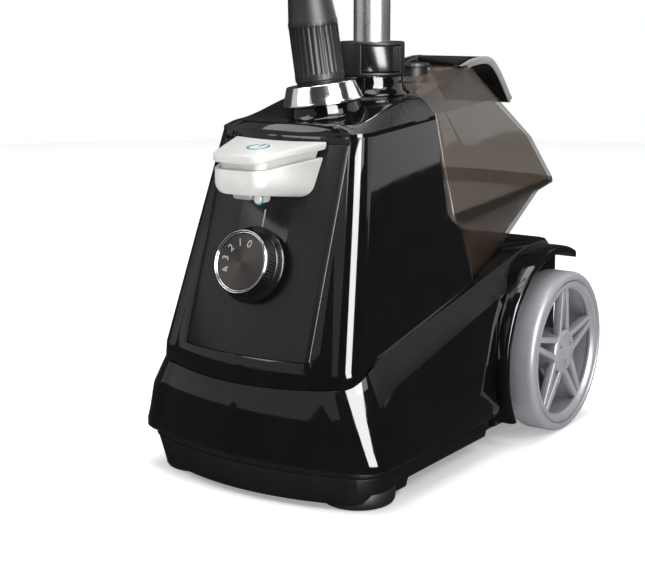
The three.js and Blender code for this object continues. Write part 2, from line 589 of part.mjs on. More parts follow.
function buildHanger() {
  const { bottom, top, sleeve, half, thick, pinX, pinZ } = hub;
  const upper = pole.upper;
  const slotTo = pinX - 14;
  const blockOutline = [[-18, 1421], [18, 1421], [half + 2, 1444], [half + 4, 1470], [26, 1490], [14, top],
    [-14, top], [-26, 1490], [-half - 4, 1470], [-half - 2, 1444]];
  const slots = [1, -1].map((side) => box(...(side > 0 ? [slotTo, 60] : [-60, -slotTo]),
    -arm.half - gap, arm.half + gap, 1400, 1500));
  const pins = [pinX, -pinX].map((x) => bar(3, [x, 1 - thick, pinZ], [x, thick - 1, pinZ], 14));
  const head = minus(plus(profileAlongY(blockOutline, -thick, thick), turned([[0, bottom], [sleeve, bottom],
    [sleeve + 1.5, 1425], [0, 1425]], 22)), ...slots);
  const poleHole = bar(upper.r + gap, [0, 0, 1300], [0, 0, upper.top + gap], 22);
  add('hanger_hub', minus(plus(head, ...pins), poleHole), satinBlack);

  // Arms: rounded at the pin, sweeping down to a hooked tip.
  const rise = new THREE.QuadraticBezierCurve(new THREE.Vector2(pinX, pinZ + 11),
    new THREE.Vector2(130, pinZ - 8), new THREE.Vector2(arm.reach - 6, arm.tipZ + 14));
  const under = new THREE.QuadraticBezierCurve(new THREE.Vector2(arm.reach - 16, arm.tipZ + 2),
    new THREE.Vector2(120, pinZ - 34), new THREE.Vector2(pinX + 2, pinZ - 10.5));
  const tip = [[arm.reach, arm.tipZ + 6], [arm.reach - 2, arm.tipZ - 8], [arm.reach - 8, arm.tipZ - 9]];
  const outline = [...rise.getPoints(10).map((p) => p.toArray()), ...tip,
    ...under.getPoints(10).map((p) => p.toArray()),
    [pinX - 8.5, pinZ - 6], [pinX - 10.5, pinZ + 2], [pinX - 6, pinZ + 9]];
  const rodPath = [[rod.near, 0, 1437], [rod.near, 0, rod.z + 8], [rod.near + 8, 0, rod.z],
    [rod.near + 24, 0, rod.z], [rod.far - 30, 0, rod.z], [rod.far - 6, 0, rod.z], [rod.far, 0, rod.z + 3]];
  const rightArm = minus(profileAlongY(outline, -arm.half, arm.half),
    bar(3 + gap, [pinX, -20, pinZ], [pinX, 20, pinZ], 16));
  const besideArm = profileAlongY(outline, -arm.half - 1, arm.half + 1);
  const rightRod = minus(tube(rodPath, rod.radius, 8, 16), besideArm);
  const grip = plus(
    box(clipX - 7, clipX + 7, -5, 5, rod.z - 26, rod.z + 6),
    box(clipX - 9, clipX + 9, -4, 4, rod.z - 40, rod.z - 24),
  );
  const rightClip = minus(grip, bar(rod.radius + gap, [clipX - 20, 0, rod.z], [clipX + 20, 0, rod.z], 12));
  for (const [side, turn] of [['right', (g) => g], ['left', mirrored]]) {
    add(`hanger_arm_${side}`, turn(rightArm), satinBlack);
    add(`trouser_rod_${side}`, turn(rightRod), chrome);
    add(`clip_${side}`, turn(rightClip), satinBlack);
  }

  const neckGap = 15.5;
  const fork = minus(
    plus(box(-24, 24, handset.y - 16, handset.y + 26, 1553, 1562), box(-9, 9, -24, 9, top + gap, 1562)),
    bar(neckGap, [0, handset.y, 1500], [0, handset.y, 1600], 22),
    box(-neckGap, neckGap, handset.y - 40, handset.y, 1500, 1600),
  );
  const hook = tube([[8.5, 0, 1530], [20, 0, 1528], [29, 0, 1532], [32, 0, 1541], [30, 0, 1549]], 3, 8, 12);
  add('handset_cradle', plus(fork, hook), satinBlack);
}

// ---------------------------------------------------------------- handset and hose
function buildHandset() {
  const { y, bottom, neck, headZ, headHalf } = handset;
  const oval = (z, rx, ry, dy) => Array.from({ length: 16 }, (_, i) => {
    const angle = 2 * Math.PI * i / 16;
    return [rx * Math.cos(angle), y + dy + ry * Math.sin(angle), z];
  });
  const gripRings = [[bottom, 12, 12, 0], [bottom + 12, 14.5, 15, 0], [1462, 16, 18, 0], [1500, 16, 19, -1],
    [1535, 15, 16, -1], [1552, 13.5, 13.5, 0], [neck, 13.5, 13.5, 0], [neck + 16, 17, 15, 0]];
  const trigger = { z: 1515, half: 6, halfTall: 16.4 };
  const pocketHalf = trigger.half + 0.4;
  const pocketTall = trigger.halfTall + 0.6;
  const pocket = box(-pocketHalf, pocketHalf, y - 40, y - 8, trigger.z - pocketTall, trigger.z + pocketTall);
  add('handset_grip', minus(loft(gripRings.map((r) => oval(...r))), pocket), matteBlack);
  const triggerRing = ([back, scale]) => {
    const x = trigger.half * scale;
    const tall = trigger.halfTall * scale;
    return [[x, -tall], [x, tall], [-x, tall], [-x, -tall]].map(([px, dz]) => [px, y - back, trigger.z + dz]);
  };
  add('steam_trigger', loft([[11, 1], [20, 1], [23.5, 0.86]].map(triggerRing)), silverPlastic);

  // Steam head: a wide rounded body lying along X with a flat face in front.
  const headRing = (x, halfY, halfZ) => Array.from({ length: 16 }, (_, i) => {
    const angle = 2 * Math.PI * i / 16;
    return [x, y - 1 + halfY * Math.cos(angle), headZ + halfZ * Math.sin(angle)];
  });
  const stations = [[-1, 7, 6], [-0.95, 13, 11], [-0.75, 19, 16.5], [-0.4, 24.5, 22.5], [0, 27, 25.2]];
  const half = stations.map(([part, ry, rz]) => headRing(part * headHalf, ry, rz));
  const otherHalf = stations.slice(0, -1).reverse()
    .map(([part, ry, rz]) => headRing(-part * headHalf, ry, rz));
  const head = loft([...half, ...otherHalf]);
  const faceCut = box(-100, 100, y - 60, y - 20, 1560, 1660);
  const gripTop = loft([oval(neck - 2, 14, 14, 0), oval(neck + 16.4, 17.5, 15.5, 0)]);
  add('steam_head', minus(head, faceCut, gripTop), whitePlastic);
  const plateOutline = new THREE.Shape();
  plateOutline.absellipse(0, 0, headHalf - 14, 15.5, 0, 2 * Math.PI);
  const plateShape = { depth: 2.6, bevelEnabled: false, curveSegments: 20 };
  add('steam_plate', new THREE.ExtrudeGeometry(plateOutline, plateShape)
    .rotateX(Math.PI / 2).translate(0, y - 20 - gap, headZ), brushedSteel);
}

function buildHose() {
  const bore = port.tube + 0.5;
  const cuffTop = port.cuffEnd - 1;
  add('hose_cuff', onPort(turned([[bore, 15.5], [hose.cuff, 15.5], [hose.cuff, 58], [14, cuffTop - 5],
    [12.5, cuffTop], [0, cuffTop], [0, 29], [bore, 29]])), matteBlack);
  const curve = smoothCurve(hoseRoute);
  const total = curve.getLength();
  const stretch = (from, to, radius, sides, steps) => {
    const points = Array.from({ length: steps + 1 }, (_, i) =>
      curve.getPointAt(mix(from, to, i / steps) / total).toArray());
    return tube(points, radius, sides, steps);
  };
  const { radius, guard, guardEnd, lowerEnd, middleEnd } = hose;
  add('hose_guard', stretch(0, guardEnd, guard, 10, 12), matteBlack);
  add('hose_lower', stretch(guardEnd + 1.5, lowerEnd, radius, 8, 22), braid);
  add('hose_middle', stretch(lowerEnd + 0.5, middleEnd, radius, 8, 22), braid);
  add('hose_upper', stretch(middleEnd + 0.5, total - 0.5, radius, 8, 10), braid);
}

buildBase();
buildUpperBase();
buildControls();
buildInside();
buildWheels();
buildTank();
buildPole();
buildHanger();
buildHandset();
buildHose();

export default steamer;
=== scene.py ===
# Looks of the upright garment steamer: wheeled base, water tank, telescopic pole, hanger,
# handset and steam hose. Dimensions are in millimetres in the part's own frame, whose Y origin is
# the pole's axis, and place() turns them into metres in the row frame.
import math

import bmesh
import bpy
from mathutils import Matrix, Vector


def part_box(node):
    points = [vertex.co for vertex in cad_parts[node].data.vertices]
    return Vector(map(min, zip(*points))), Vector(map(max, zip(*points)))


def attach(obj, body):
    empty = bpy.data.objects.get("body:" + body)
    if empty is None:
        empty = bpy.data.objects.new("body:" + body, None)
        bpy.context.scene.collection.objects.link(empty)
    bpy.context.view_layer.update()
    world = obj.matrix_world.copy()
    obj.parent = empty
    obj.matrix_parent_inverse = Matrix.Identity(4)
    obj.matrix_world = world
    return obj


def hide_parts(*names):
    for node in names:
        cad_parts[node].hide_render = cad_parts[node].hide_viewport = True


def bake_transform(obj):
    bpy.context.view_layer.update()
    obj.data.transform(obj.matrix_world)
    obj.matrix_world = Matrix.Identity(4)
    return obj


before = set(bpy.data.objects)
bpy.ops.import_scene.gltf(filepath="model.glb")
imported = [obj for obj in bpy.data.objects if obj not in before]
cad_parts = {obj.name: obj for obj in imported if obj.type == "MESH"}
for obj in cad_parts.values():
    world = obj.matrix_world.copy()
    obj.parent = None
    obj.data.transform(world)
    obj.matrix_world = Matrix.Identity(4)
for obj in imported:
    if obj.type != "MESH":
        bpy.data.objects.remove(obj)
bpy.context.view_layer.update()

MM = 0.001
pole_low, pole_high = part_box("pole_lower")
AXIS_Y = (pole_low.y + pole_high.y) / 2
GAP = 0.35


# ------------------------------------------------------------------ camera
def away_from(azimuth, elevation):
    """Direction from the object towards these angles, in degrees."""
    azimuth, elevation = math.radians(azimuth), math.radians(elevation)
    level = math.cos(elevation)
    return Vector((math.sin(azimuth) * level, -math.cos(azimuth) * level, math.sin(elevation)))


def add_camera():
    away = away_from(34.3, 11.5)
    target = Vector((-0.0333, AXIS_Y, 0.1205))
    distance = 1.1044
    data = bpy.data.cameras.new("camera")
    data.lens = 77.03
    data.sensor_width = 36
    data.shift_x = -0.0203
    data.shift_y = -0.0082
    data.clip_start = 0.05
    data.clip_end = 60
    camera = bpy.data.objects.new("camera", data)
    camera.location = target + distance * away
    camera.rotation_euler = (-away).to_track_quat("-Z", "Y").to_euler()
    bpy.context.scene.collection.objects.link(camera)
    bpy.context.scene.camera = camera


add_camera()


# ------------------------------------------------------------------ materials
def grey(value):
    return (value, value, value, 1)


class Graph:
    """A material's nodes, with short calls for the ones used here."""

    def __init__(self, name):
        self.material = bpy.data.materials.new(name)
        self.material.use_nodes = True
        self.tree = self.material.node_tree
        self.shader = self.tree.nodes["Principled BSDF"]
        self.coordinates = self.tree.nodes.new("ShaderNodeTexCoord")

    def node(self, kind, **values):
        made = self.tree.nodes.new(kind)
        for key, value in values.items():
            setattr(made, key, value)
        return made

    def link(self, source, target):
        self.tree.links.new(source, target)

    def position(self, stretch=(1, 1, 1), output="Object"):
        mapping = self.node("ShaderNodeMapping")
        mapping.inputs["Scale"].default_value = stretch
        self.link(self.coordinates.outputs[output], mapping.inputs["Vector"])
        return mapping.outputs["Vector"]

    def noise(self, vector, scale, detail=3.0):
        noise = self.node("ShaderNodeTexNoise")
        noise.inputs["Scale"].default_value = scale
        noise.inputs["Detail"].default_value = detail
        self.link(vector, noise.inputs["Vector"])
        return noise.outputs["Fac"]

    def spread(self, value, low, high, source_low=0.3, source_high=0.7):
        span = self.node("ShaderNodeMapRange")
        span.inputs["From Min"].default_value = source_low
        span.inputs["From Max"].default_value = source_high
        span.inputs["To Min"].default_value = low
        span.inputs["To Max"].default_value = high
        self.link(value, span.inputs["Value"])
        return span.outputs["Result"]

    def ramp(self, value, stops):
        ramp = self.node("ShaderNodeValToRGB")
        elements = ramp.color_ramp.elements
        while len(elements) < len(stops):
            elements.new(0.5)
        for element, (place, color) in zip(elements, stops):
            element.position = place
            element.color = color
        self.link(value, ramp.inputs["Fac"])
        return ramp.outputs["Color"]

    def bump(self, height, distance, strength=1.0):
        bump = self.node("ShaderNodeBump")
        bump.inputs["Distance"].default_value = distance
        bump.inputs["Strength"].default_value = strength
        self.link(height, bump.inputs["Height"])
        self.link(bump.outputs["Normal"], self.shader.inputs["Normal"])

    def set(self, **values):
        for key, value in values.items():
            self.shader.inputs[key.replace("_", " ")].default_value = value


def finish(name, color, roughness, spread=0.05, tone=0.12, grain=900, depth=0.02, stretch=(1, 1, 1),
           **shader):
    """A moulded or metal surface: uneven tone and polish over a fine grain."""
    graph = Graph(name)
    coarse = graph.noise(graph.position(), 45)
    shades = [tuple(c * (1 - tone) for c in color) + (1,), tuple(c * (1 + tone) for c in color) + (1,)]
    graph.link(graph.ramp(coarse, [(0.3, shades[0]), (0.7, shades[1])]),
               graph.shader.inputs["Base Color"])
    fine = graph.noise(graph.position(stretch), grain)
    graph.link(graph.spread(fine, roughness - spread, roughness + spread),
               graph.shader.inputs["Roughness"])
    graph.bump(fine, depth * MM)
    graph.set(**shader)
    return graph.material


def braid_finish():
    """White woven sleeve with a lattice of black dots; U is round the hose and V along it."""
    graph = Graph("hose_braid")
    split = graph.node("ShaderNodeSeparateXYZ")
    graph.link(graph.coordinates.outputs["UV"], split.inputs[0])

    def combine(operation, a, b, third=None):
        node = graph.node("ShaderNodeMath", operation=operation)
        for socket, value in zip(node.inputs, (a, b, third)):
            if value is None:
                continue
            if isinstance(value, (int, float)):
                socket.default_value = value
            else:
                graph.link(value, socket)
        return node.outputs[0]

    def wave(turns, per_metre):
        around = combine("MULTIPLY", split.outputs["X"], 2 * math.pi * turns)
        along = combine("MULTIPLY_ADD", split.outputs["Y"], 2 * math.pi * per_metre, around)
        return combine("SINE", along, 0.0)

    left = wave(10, 130)
    right = wave(-10, 130)
    weave = combine("MAXIMUM", left, right)
    dots = combine("MULTIPLY", wave(4, 65), wave(-4, 65))
    is_dot = graph.spread(dots, 0, 1, 0.62, 0.74)
    tone = graph.noise(graph.position(), 300)
    white = graph.ramp(tone, [(0.3, (0.62, 0.61, 0.59, 1)), (0.7, (0.84, 0.83, 0.81, 1))])
    mix = graph.node("ShaderNodeMix", data_type="RGBA")
    graph.link(is_dot, mix.inputs["Factor"])
    graph.link(white, mix.inputs["A"])
    mix.inputs["B"].default_value = (0.02, 0.02, 0.022, 1)
    graph.link(mix.outputs["Result"], graph.shader.inputs["Base Color"])
    graph.bump(weave, 0.25 * MM)
    graph.set(Roughness=0.62, Sheen_Weight=0.15)
    return graph.material


def dotted_finish(name, color, roughness, pitch, depth, between, **shader):
    """A surface with a fine raised dot pattern; between is the colour between the dots."""
    graph = Graph(name)
    tone = graph.noise(graph.position(), 60)
    cells = graph.node("ShaderNodeTexVoronoi")
    cells.inputs["Scale"].default_value = 1 / (pitch * MM)
    cells.inputs["Randomness"].default_value = 0.0
    graph.link(graph.position(), cells.inputs["Vector"])
    dots = graph.spread(cells.outputs["Distance"], 1, 0, 0.25, 0.5)
    graph.link(graph.ramp(dots, [(0.0, between + (1,)), (1.0, color + (1,))]),
               graph.shader.inputs["Base Color"])
    graph.bump(dots, depth * MM)
    graph.link(graph.spread(tone, roughness - 0.04, roughness + 0.04),
               graph.shader.inputs["Roughness"])
    graph.set(**shader)
    return graph.material


def spun_finish():
    """Turned metal: fine grooves round the local Z axis, and a sheen painted into the base colour,
    lighter and darker by angle.
    """
    graph = Graph("dial_face")
    split = graph.node("ShaderNodeSeparateXYZ")
    graph.link(graph.position(), split.inputs[0])
    flat = graph.node("ShaderNodeCombineXYZ")
    graph.link(split.outputs["X"], flat.inputs["X"])
    graph.link(split.outputs["Y"], flat.inputs["Y"])
    radius = graph.node("ShaderNodeVectorMath", operation="LENGTH")
    graph.link(flat.outputs[0], radius.inputs[0])
    along = graph.node("ShaderNodeCombineXYZ")
    graph.link(radius.outputs["Value"], along.inputs["X"])
    grooves = graph.noise(along.outputs[0], 5200, 2)
    graph.bump(grooves, 0.03 * MM)
    # Painted sheen: the base colour fans lighter and darker with twice the angle round the dial.
    angle = graph.node("ShaderNodeMath", operation="ARCTAN2")
    graph.link(split.outputs["Y"], angle.inputs[0])
    graph.link(split.outputs["X"], angle.inputs[1])
    twice = graph.node("ShaderNodeMath", operation="MULTIPLY")
    twice.inputs[1].default_value = 2.0
    graph.link(angle.outputs[0], twice.inputs[0])
    painted_fan = graph.node("ShaderNodeMath", operation="SINE")
    graph.link(twice.outputs[0], painted_fan.inputs[0])
    graph.link(graph.ramp(graph.spread(painted_fan.outputs[0], 0, 1, -1, 1),
                          [(0, (0.03, 0.027, 0.025, 1)), (1, (0.062, 0.055, 0.049, 1))]),
               graph.shader.inputs["Base Color"])
    graph.set(Metallic=0.6, Roughness=0.4)
    return graph.material


GLOSS = finish("gloss_black", (0.0045, 0.0045, 0.005), 0.07, 0.03, 0.2, 120, 0.004, IOR=1.47)
PANEL = finish("panel_black", (0.0065, 0.0065, 0.007), 0.28, 0.05, 0.1, 3200, 0.012, IOR=1.45)
MATTE = finish("matte_black", (0.01, 0.01, 0.0105), 0.46, 0.07, 0.12, 2400, 0.03, IOR=1.42)
SKIRT = finish("skirt_black", (0.0065, 0.0065, 0.007), 0.42, 0.06, 0.1, 2600, 0.03, IOR=1.32)
BELT = finish("belt_black", (0.006, 0.006, 0.007), 0.42, 0.05, 0.1, 2600, 0.012, IOR=1.25)
KNOB = finish("knob_black", (0.006, 0.006, 0.0065), 0.22, 0.05, 0.15, 1600, 0.01)
SILVER = finish("wheel_silver", (0.35, 0.345, 0.375), 0.42, 0.06, 0.05, 2600, 0.02, Metallic=0.15)
STEEL = finish("switch_steel", (0.66, 0.655, 0.63), 0.45, 0.08, 0.05, 420, 0.01, (1, 14, 14),
               Metallic=0.15)
SPRING = finish("spring_steel", (0.5, 0.49, 0.47), 0.3, 0.05, 0.1, 900, 0.01, Metallic=1.0)
CHROME = finish("bright_chrome", (0.84, 0.84, 0.85), 0.1, 0.03, 0.03, 160, 0.003, Metallic=1.0)
POLE = finish("pole_aluminium", (0.66, 0.66, 0.67), 0.3, 0.07, 0.04, 500, 0.01, (14, 14, 1),
              Metallic=1.0)
CAST = finish("cast_aluminium", (0.45, 0.45, 0.46), 0.5, 0.08, 0.1, 700, 0.05, Metallic=1.0)
WHITE = finish("handset_white", (0.72, 0.72, 0.73), 0.28, 0.06, 0.03, 1200, 0.01, Coat_Weight=0.3)
HANDLE = dotted_finish("handle_silver", (0.68, 0.68, 0.69), 0.4, 1.3, 0.1, (0.3, 0.3, 0.31),
                       Metallic=0.15)
RUBBER = finish("seal_rubber", (0.02, 0.02, 0.021), 0.65, 0.08, 0.15, 1500, 0.05)
MARKS = finish("dial_marks", (0.45, 0.44, 0.42), 0.4, 0.05, 0.04, 1800, 0.01)
TEAL = finish("teal_mark", (0.03, 0.28, 0.33), 0.35, 0.05, 0.1, 1800, 0.01)
BRAID = braid_finish()
DIAL = spun_finish()
SMOKE = finish("tank_smoke", (0.088, 0.062, 0.04), 0.09, 0.03, 0.05, 90, 0.002, Alpha=0.49, IOR=1.49)
# Copies of the tank's smoke with light and shade painted in: painted shade along the ridge and on the
# lower facets, a painted highlight on the lower rear corner, painted light on the top, and a painted
# sheen on the dotted upper facets, whose dots are the tank's own.
SMOKE_RIDGE_PAINTED_SHADE = finish("tank_ridge_painted_shade", (0.02, 0.016, 0.012), 0.12, 0.03, 0.05, 90, 0.002, Alpha=0.8, IOR=1.49)
SMOKE_LOW_PAINTED_SHADE = finish("tank_low_painted_shade", (0.05, 0.033, 0.02), 0.1, 0.03, 0.05, 90, 0.002, Alpha=0.6, IOR=1.49)
SMOKE_REAR_PAINTED_HIGHLIGHT = finish("tank_rear_painted_highlight", (0.4, 0.38, 0.36), 0.12, 0.03, 0.05, 90, 0.002, Alpha=0.5, IOR=1.49)
SMOKE_TOP_PAINTED_LIGHT = finish("tank_top_painted_light", (0.17, 0.132, 0.105), 0.12, 0.03, 0.05, 90, 0.002, Alpha=0.6, IOR=1.49)
SMOKE_DOTS_PAINTED_SHEEN = dotted_finish("tank_dots_and_painted_sheen", (0.12, 0.093, 0.07), 0.25, 1.5, 0.1, (0.045, 0.035, 0.028),
                           Alpha=0.55, IOR=1.49)
RIBBED = dotted_finish("deck_dots", (0.055, 0.055, 0.058), 0.3, 1.3, 0.12, (0.006, 0.006, 0.006))


# ------------------------------------------------------------------ solids in millimetres
def clamp(value, low=0.0, high=1.0):
    return max(low, min(high, value))


def mix(a, b, t):
    return a + (b - a) * t


def smooth(t):
    t = clamp(t)
    return t * t * (3 - 2 * t)


def loft(rings):
    """(points, faces) of a closed body through rings of equal point count, capped at both ends."""
    count = len(rings[0])
    points = [p for ring in rings for p in ring]
    faces = []
    for k in range(len(rings) - 1):
        for i in range(count):
            a = k * count + i
            b = k * count + (i + 1) % count
            faces.append((a, b, b + count, a + count))
    faces.append(tuple(reversed(range(count))))
    faces.append(tuple(range((len(rings) - 1) * count, len(rings) * count)))
    return points, faces


def turned(profile, sides=72, wobble=None):
    """A closed [radius, height] profile turned about Z. wobble(radius, height, angle) may change
    the radius."""
    points = []
    faces = []
    rows = []
    for radius, height in profile:
        if radius < 1e-6:
            rows.append([len(points)])
            points.append((0, 0, height))
            continue
        row = []
        for i in range(sides):
            angle = 2 * math.pi * i / sides
            r = wobble(radius, height, angle) if wobble else radius
            row.append(len(points))
            points.append((r * math.cos(angle), r * math.sin(angle), height))
        rows.append(row)
    for a, b in zip(rows, rows[1:] + rows[:1]):
        if len(a) == 1 and len(b) == 1:
            continue
        for i in range(sides):
            j = (i + 1) % sides
            if len(a) == 1:
                faces.append((a[0], b[j], b[i]))
            elif len(b) == 1:
                faces.append((a[i], a[j], b[0]))
            else:
                faces.append((a[i], a[j], b[j], b[i]))
    return points, faces


def moved(solid, matrix):
    points, faces = solid
    return [tuple(matrix @ Vector(p)) for p in points], faces


def shifted(solid, x=0, y=0, z=0):
    return moved(solid, Matrix.Translation((x, y, z)))


def ellipse(rx, ry, count):
    """Points round an ellipse about the origin."""
    turns = [2 * math.pi * i / count for i in range(count)]
    return [(rx * math.cos(a), ry * math.sin(a)) for a in turns]


def flat(z):
    """A level for plan() that is the same at every y."""
    return lambda y: z


def mirrored(solid):
    points, faces = solid
    return [(-x, y, z) for x, y, z in points], [tuple(reversed(f)) for f in faces]


SIDES = (("right", lambda solid: solid), ("left", mirrored))


def together(*solids):
    """Several closed bodies as one mesh."""
    points = []
    faces = []
    for more, sides in solids:
        start = len(points)
        points += more
        faces += [tuple(i + start for i in side) for side in sides]
    return points, faces


def prism(outline, low, high, axis):
    """A prism of a 2-D outline: axis x takes [y, z] points, y takes [x, z] and z takes [x, y]."""
    def at(p, depth):
        if axis == "x":
            return (depth, p[0], p[1])
        if axis == "y":
            return (p[0], depth, p[1])
        return (p[0], p[1], depth)
    return loft([[at(p, low) for p in outline], [at(p, high) for p in outline]])


def block(x0, x1, y0, y1, z0, z1):
    return prism([(x0, y0), (x1, y0), (x1, y1), (x0, y1)], z0, z1, "z")


def bar(radius, start, end, sides=32):
    axis = Vector(end) - Vector(start)
    rod = turned([[0, 0], [radius, 0], [radius, axis.length], [0, axis.length]], sides)
    turn = Vector((0, 0, 1)).rotation_difference(axis).to_matrix().to_4x4()
    return moved(rod, Matrix.Translation(start) @ turn)


def place(point):
    return (point[0] * MM, point[1] * MM + AXIS_Y, point[2] * MM)


def piece(name, solid, material, local=None):
    """A Blender object of a solid in millimetres. local gives a frame in millimetres that the
    solid is drawn in, so that its material's coordinates start there."""
    points, faces = solid
    mesh = bpy.data.meshes.new(name)
    if local:
        mesh.from_pydata([tuple(c * MM for c in p) for p in points], [], faces)
    else:
        mesh.from_pydata([place(p) for p in points], [], faces)
    work = bmesh.new()
    work.from_mesh(mesh)
    bmesh.ops.recalc_face_normals(work, faces=work.faces)
    work.to_mesh(mesh)
    work.free()
    made = bpy.data.objects.new(name, mesh)
    mesh.materials.append(material)
    bpy.context.scene.collection.objects.link(made)
    if local:
        corner = local.to_translation()
        made.matrix_world = Matrix.Translation(place(corner)) @ local.to_3x3().to_4x4()
    return made


def evaluated(made):
    """Bakes an object's modifiers into its mesh."""
    bpy.context.view_layer.update()
    graph = bpy.context.evaluated_depsgraph_get()
    mesh = bpy.data.meshes.new_from_object(made.evaluated_get(graph))
    made.modifiers.clear()
    made.data = mesh


def boolean(made, operation, solids):
    """Cuts solids from an object, or joins them to it."""
    others = []
    for solid in solids:
        other = piece("cutter", solid, GLOSS)
        others.append(other)
        modifier = made.modifiers.new("cut", "BOOLEAN")
        modifier.operation = operation
        modifier.solver = "EXACT"
        modifier.object = other
        modifier.material_mode = "INDEX"
    evaluated(made)
    for other in others:
        bpy.data.objects.remove(other)
    return made


def cut(made, *solids):
    return boolean(made, "DIFFERENCE", solids)


def join(made, *solids):
    return boolean(made, "UNION", solids)


def soften(made, width=0.8, segments=3, angle=32, sharp=32):
    """Rounds an object's hard edges and shades the rest smooth."""
    work = bmesh.new()
    work.from_mesh(made.data)
    bmesh.ops.remove_doubles(work, verts=work.verts, dist=0.00002)
    bmesh.ops.dissolve_limit(work, angle_limit=math.radians(0.6), verts=work.verts, edges=work.edges)
    work.to_mesh(made.data)
    work.free()
    made.data.shade_smooth()
    if width:
        modifier = made.modifiers.new("edges", "BEVEL")
        modifier.width = width * MM
        modifier.segments = segments
        modifier.limit_method = "ANGLE"
        modifier.angle_limit = math.radians(angle)
        modifier.harden_normals = True
        modifier.miter_outer = "MITER_ARC"
        modifier.loop_slide = False
        evaluated(made)
    made.data.set_sharp_from_angle(angle=math.radians(sharp))
    return made


def shade(made, sharp):
    """Smooth shading that keeps edges over an angle in degrees sharp."""
    made.data.shade_smooth()
    made.data.set_sharp_from_angle(angle=math.radians(sharp))


def give(made, body, slot, *nodes):
    """Rides a piece on a body in place of CAD nodes, which it hides; slot is not used."""
    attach(made, body)
    if nodes:
        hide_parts(*nodes)
    return made


def add_piece(name, solid, material, rounding, body, slot, *nodes, cuts=()):
    """Makes, cuts, rounds and gives a piece. rounding is soften's width, or all its values."""
    made = piece(name, solid, material)
    if cuts:
        cut(made, *cuts)
    values = rounding if isinstance(rounding, tuple) else (rounding,)
    return give(soften(made, *values), body, slot, *nodes)


# ------------------------------------------------------------------ curves and tubes
def smooth_curve(points, per_span=24):
    """Centripetal Catmull-Rom through the points, sampled finely."""
    points = [Vector(p) for p in points]
    ends = [2 * points[0] - points[1]] + points + [2 * points[-1] - points[-2]]
    samples = []
    for i in range(len(points) - 1):
        p0, p1, p2, p3 = ends[i:i + 4]
        d0, d1, d2 = ((b - a).length ** 0.5 for a, b in ((p0, p1), (p1, p2), (p2, p3)))
        t1 = ((p1 - p0) / d0 - (p2 - p0) / (d0 + d1) + (p2 - p1) / d1) * d1
        t2 = ((p2 - p1) / d1 - (p3 - p1) / (d1 + d2) + (p3 - p2) / d2) * d1
        for k in range(per_span):
            t = k / per_span
            samples.append(p1 + t1 * t + (-3 * p1 + 3 * p2 - 2 * t1 - t2) * t ** 2
                           + (2 * p1 - 2 * p2 + t1 + t2) * t ** 3)
    samples.append(points[-1])
    return samples


def at_lengths(samples, lengths):
    """Points at the given distances along a sampled curve."""
    found = []
    run = 0.0
    k = 0
    for length in lengths:
        while k < len(samples) - 2 and run + (samples[k + 1] - samples[k]).length < length:
            run += (samples[k + 1] - samples[k]).length
            k += 1
        span = (samples[k + 1] - samples[k]).length
        found.append(samples[k].lerp(samples[k + 1], clamp((length - run) / span)))
    return found


def curve_length(samples):
    return sum((b - a).length for a, b in zip(samples, samples[1:]))


def tube(points, radius, sides=24):
    """A closed tube; radius is a number or radius(distance, angle). Returns the solid."""
    points = [Vector(p) for p in points]
    tangents = [(points[min(i + 1, len(points) - 1)] - points[max(i - 1, 0)]).normalized()
                for i in range(len(points))]
    side = tangents[0].orthogonal().normalized()
    rings = []
    run = 0.0
    for i, (point, tangent) in enumerate(zip(points, tangents)):
        if i:
            run += (point - points[i - 1]).length
            side = (tangents[i - 1].rotation_difference(tangent) @ side)
        side = (side - tangent * side.dot(tangent)).normalized()
        up = tangent.cross(side)
        row = []
        for k in range(sides):
            angle = 2 * math.pi * k / sides
            r = radius(run, angle) if callable(radius) else radius
            row.append(tuple(point + r * (math.cos(angle) * side + math.sin(angle) * up)))
        rings.append(row)
    return loft(rings)


def tube_coordinates(made, sides, step):
    """U runs once round a tube and V is metres along it."""
    layer = made.data.uv_layers.new(name="around_along")
    for polygon in made.data.polygons:
        if polygon.loop_total != 4:
            continue
        columns = [v % sides for v in polygon.vertices]
        wraps = max(columns) - min(columns) > 1
        for loop, vertex in zip(polygon.loop_indices, polygon.vertices):
            column = vertex % sides
            if wraps and column == 0:
                column = sides
            layer.data[loop].uv = (column / sides, (vertex // sides) * step)


# ------------------------------------------------------------------ steam hose
HOSE_ROUTE = [
    [-10, -72, 365], [-13.5, -74.5, 398], [-13, -75, 430], [-6, -73, 461], [9, -69, 490],
    [33, -62, 514], [68, -54, 534], [108, -47, 553], [150, -42, 576], [190, -38, 606],
    [226, -34, 648], [250, -31, 700], [251, -29, 750], [238, -27, 806], [214, -26, 862],
    [184, -25, 919], [152, -25, 976], [121, -26, 1033], [92, -28, 1090], [64, -31, 1147],
    [40, -35, 1205], [20, -39, 1265], [7, -44, 1326], [1, -47, 1378], [0, -47, 1419],
]
HOSE = smooth_curve(HOSE_ROUTE)
HOSE_LENGTH = curve_length(HOSE)
GUARD_END = 165.0
LOWER_END = 648.0
MIDDLE_END = 1096.0
GUARD_DIAMETER = 22
GUARD_PITCH = 6.2
BRAID_DIAMETER = 13


def hose_points(start, end, step):
    count = max(2, round((end - start) / step))
    return at_lengths(HOSE, [mix(start, end, i / count) for i in range(count + 1)])


def hose_stretch(name, node, start, end, radius, sides, step, material):
    """The hose between two distances along it, and its centreline in metres."""
    points = hose_points(start, end, step)
    made = piece(name, tube(points, radius, sides), material)
    tube_coordinates(made, sides, step * MM)
    shade(made, 50)
    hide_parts(node)
    return made, [place(p) for p in points]


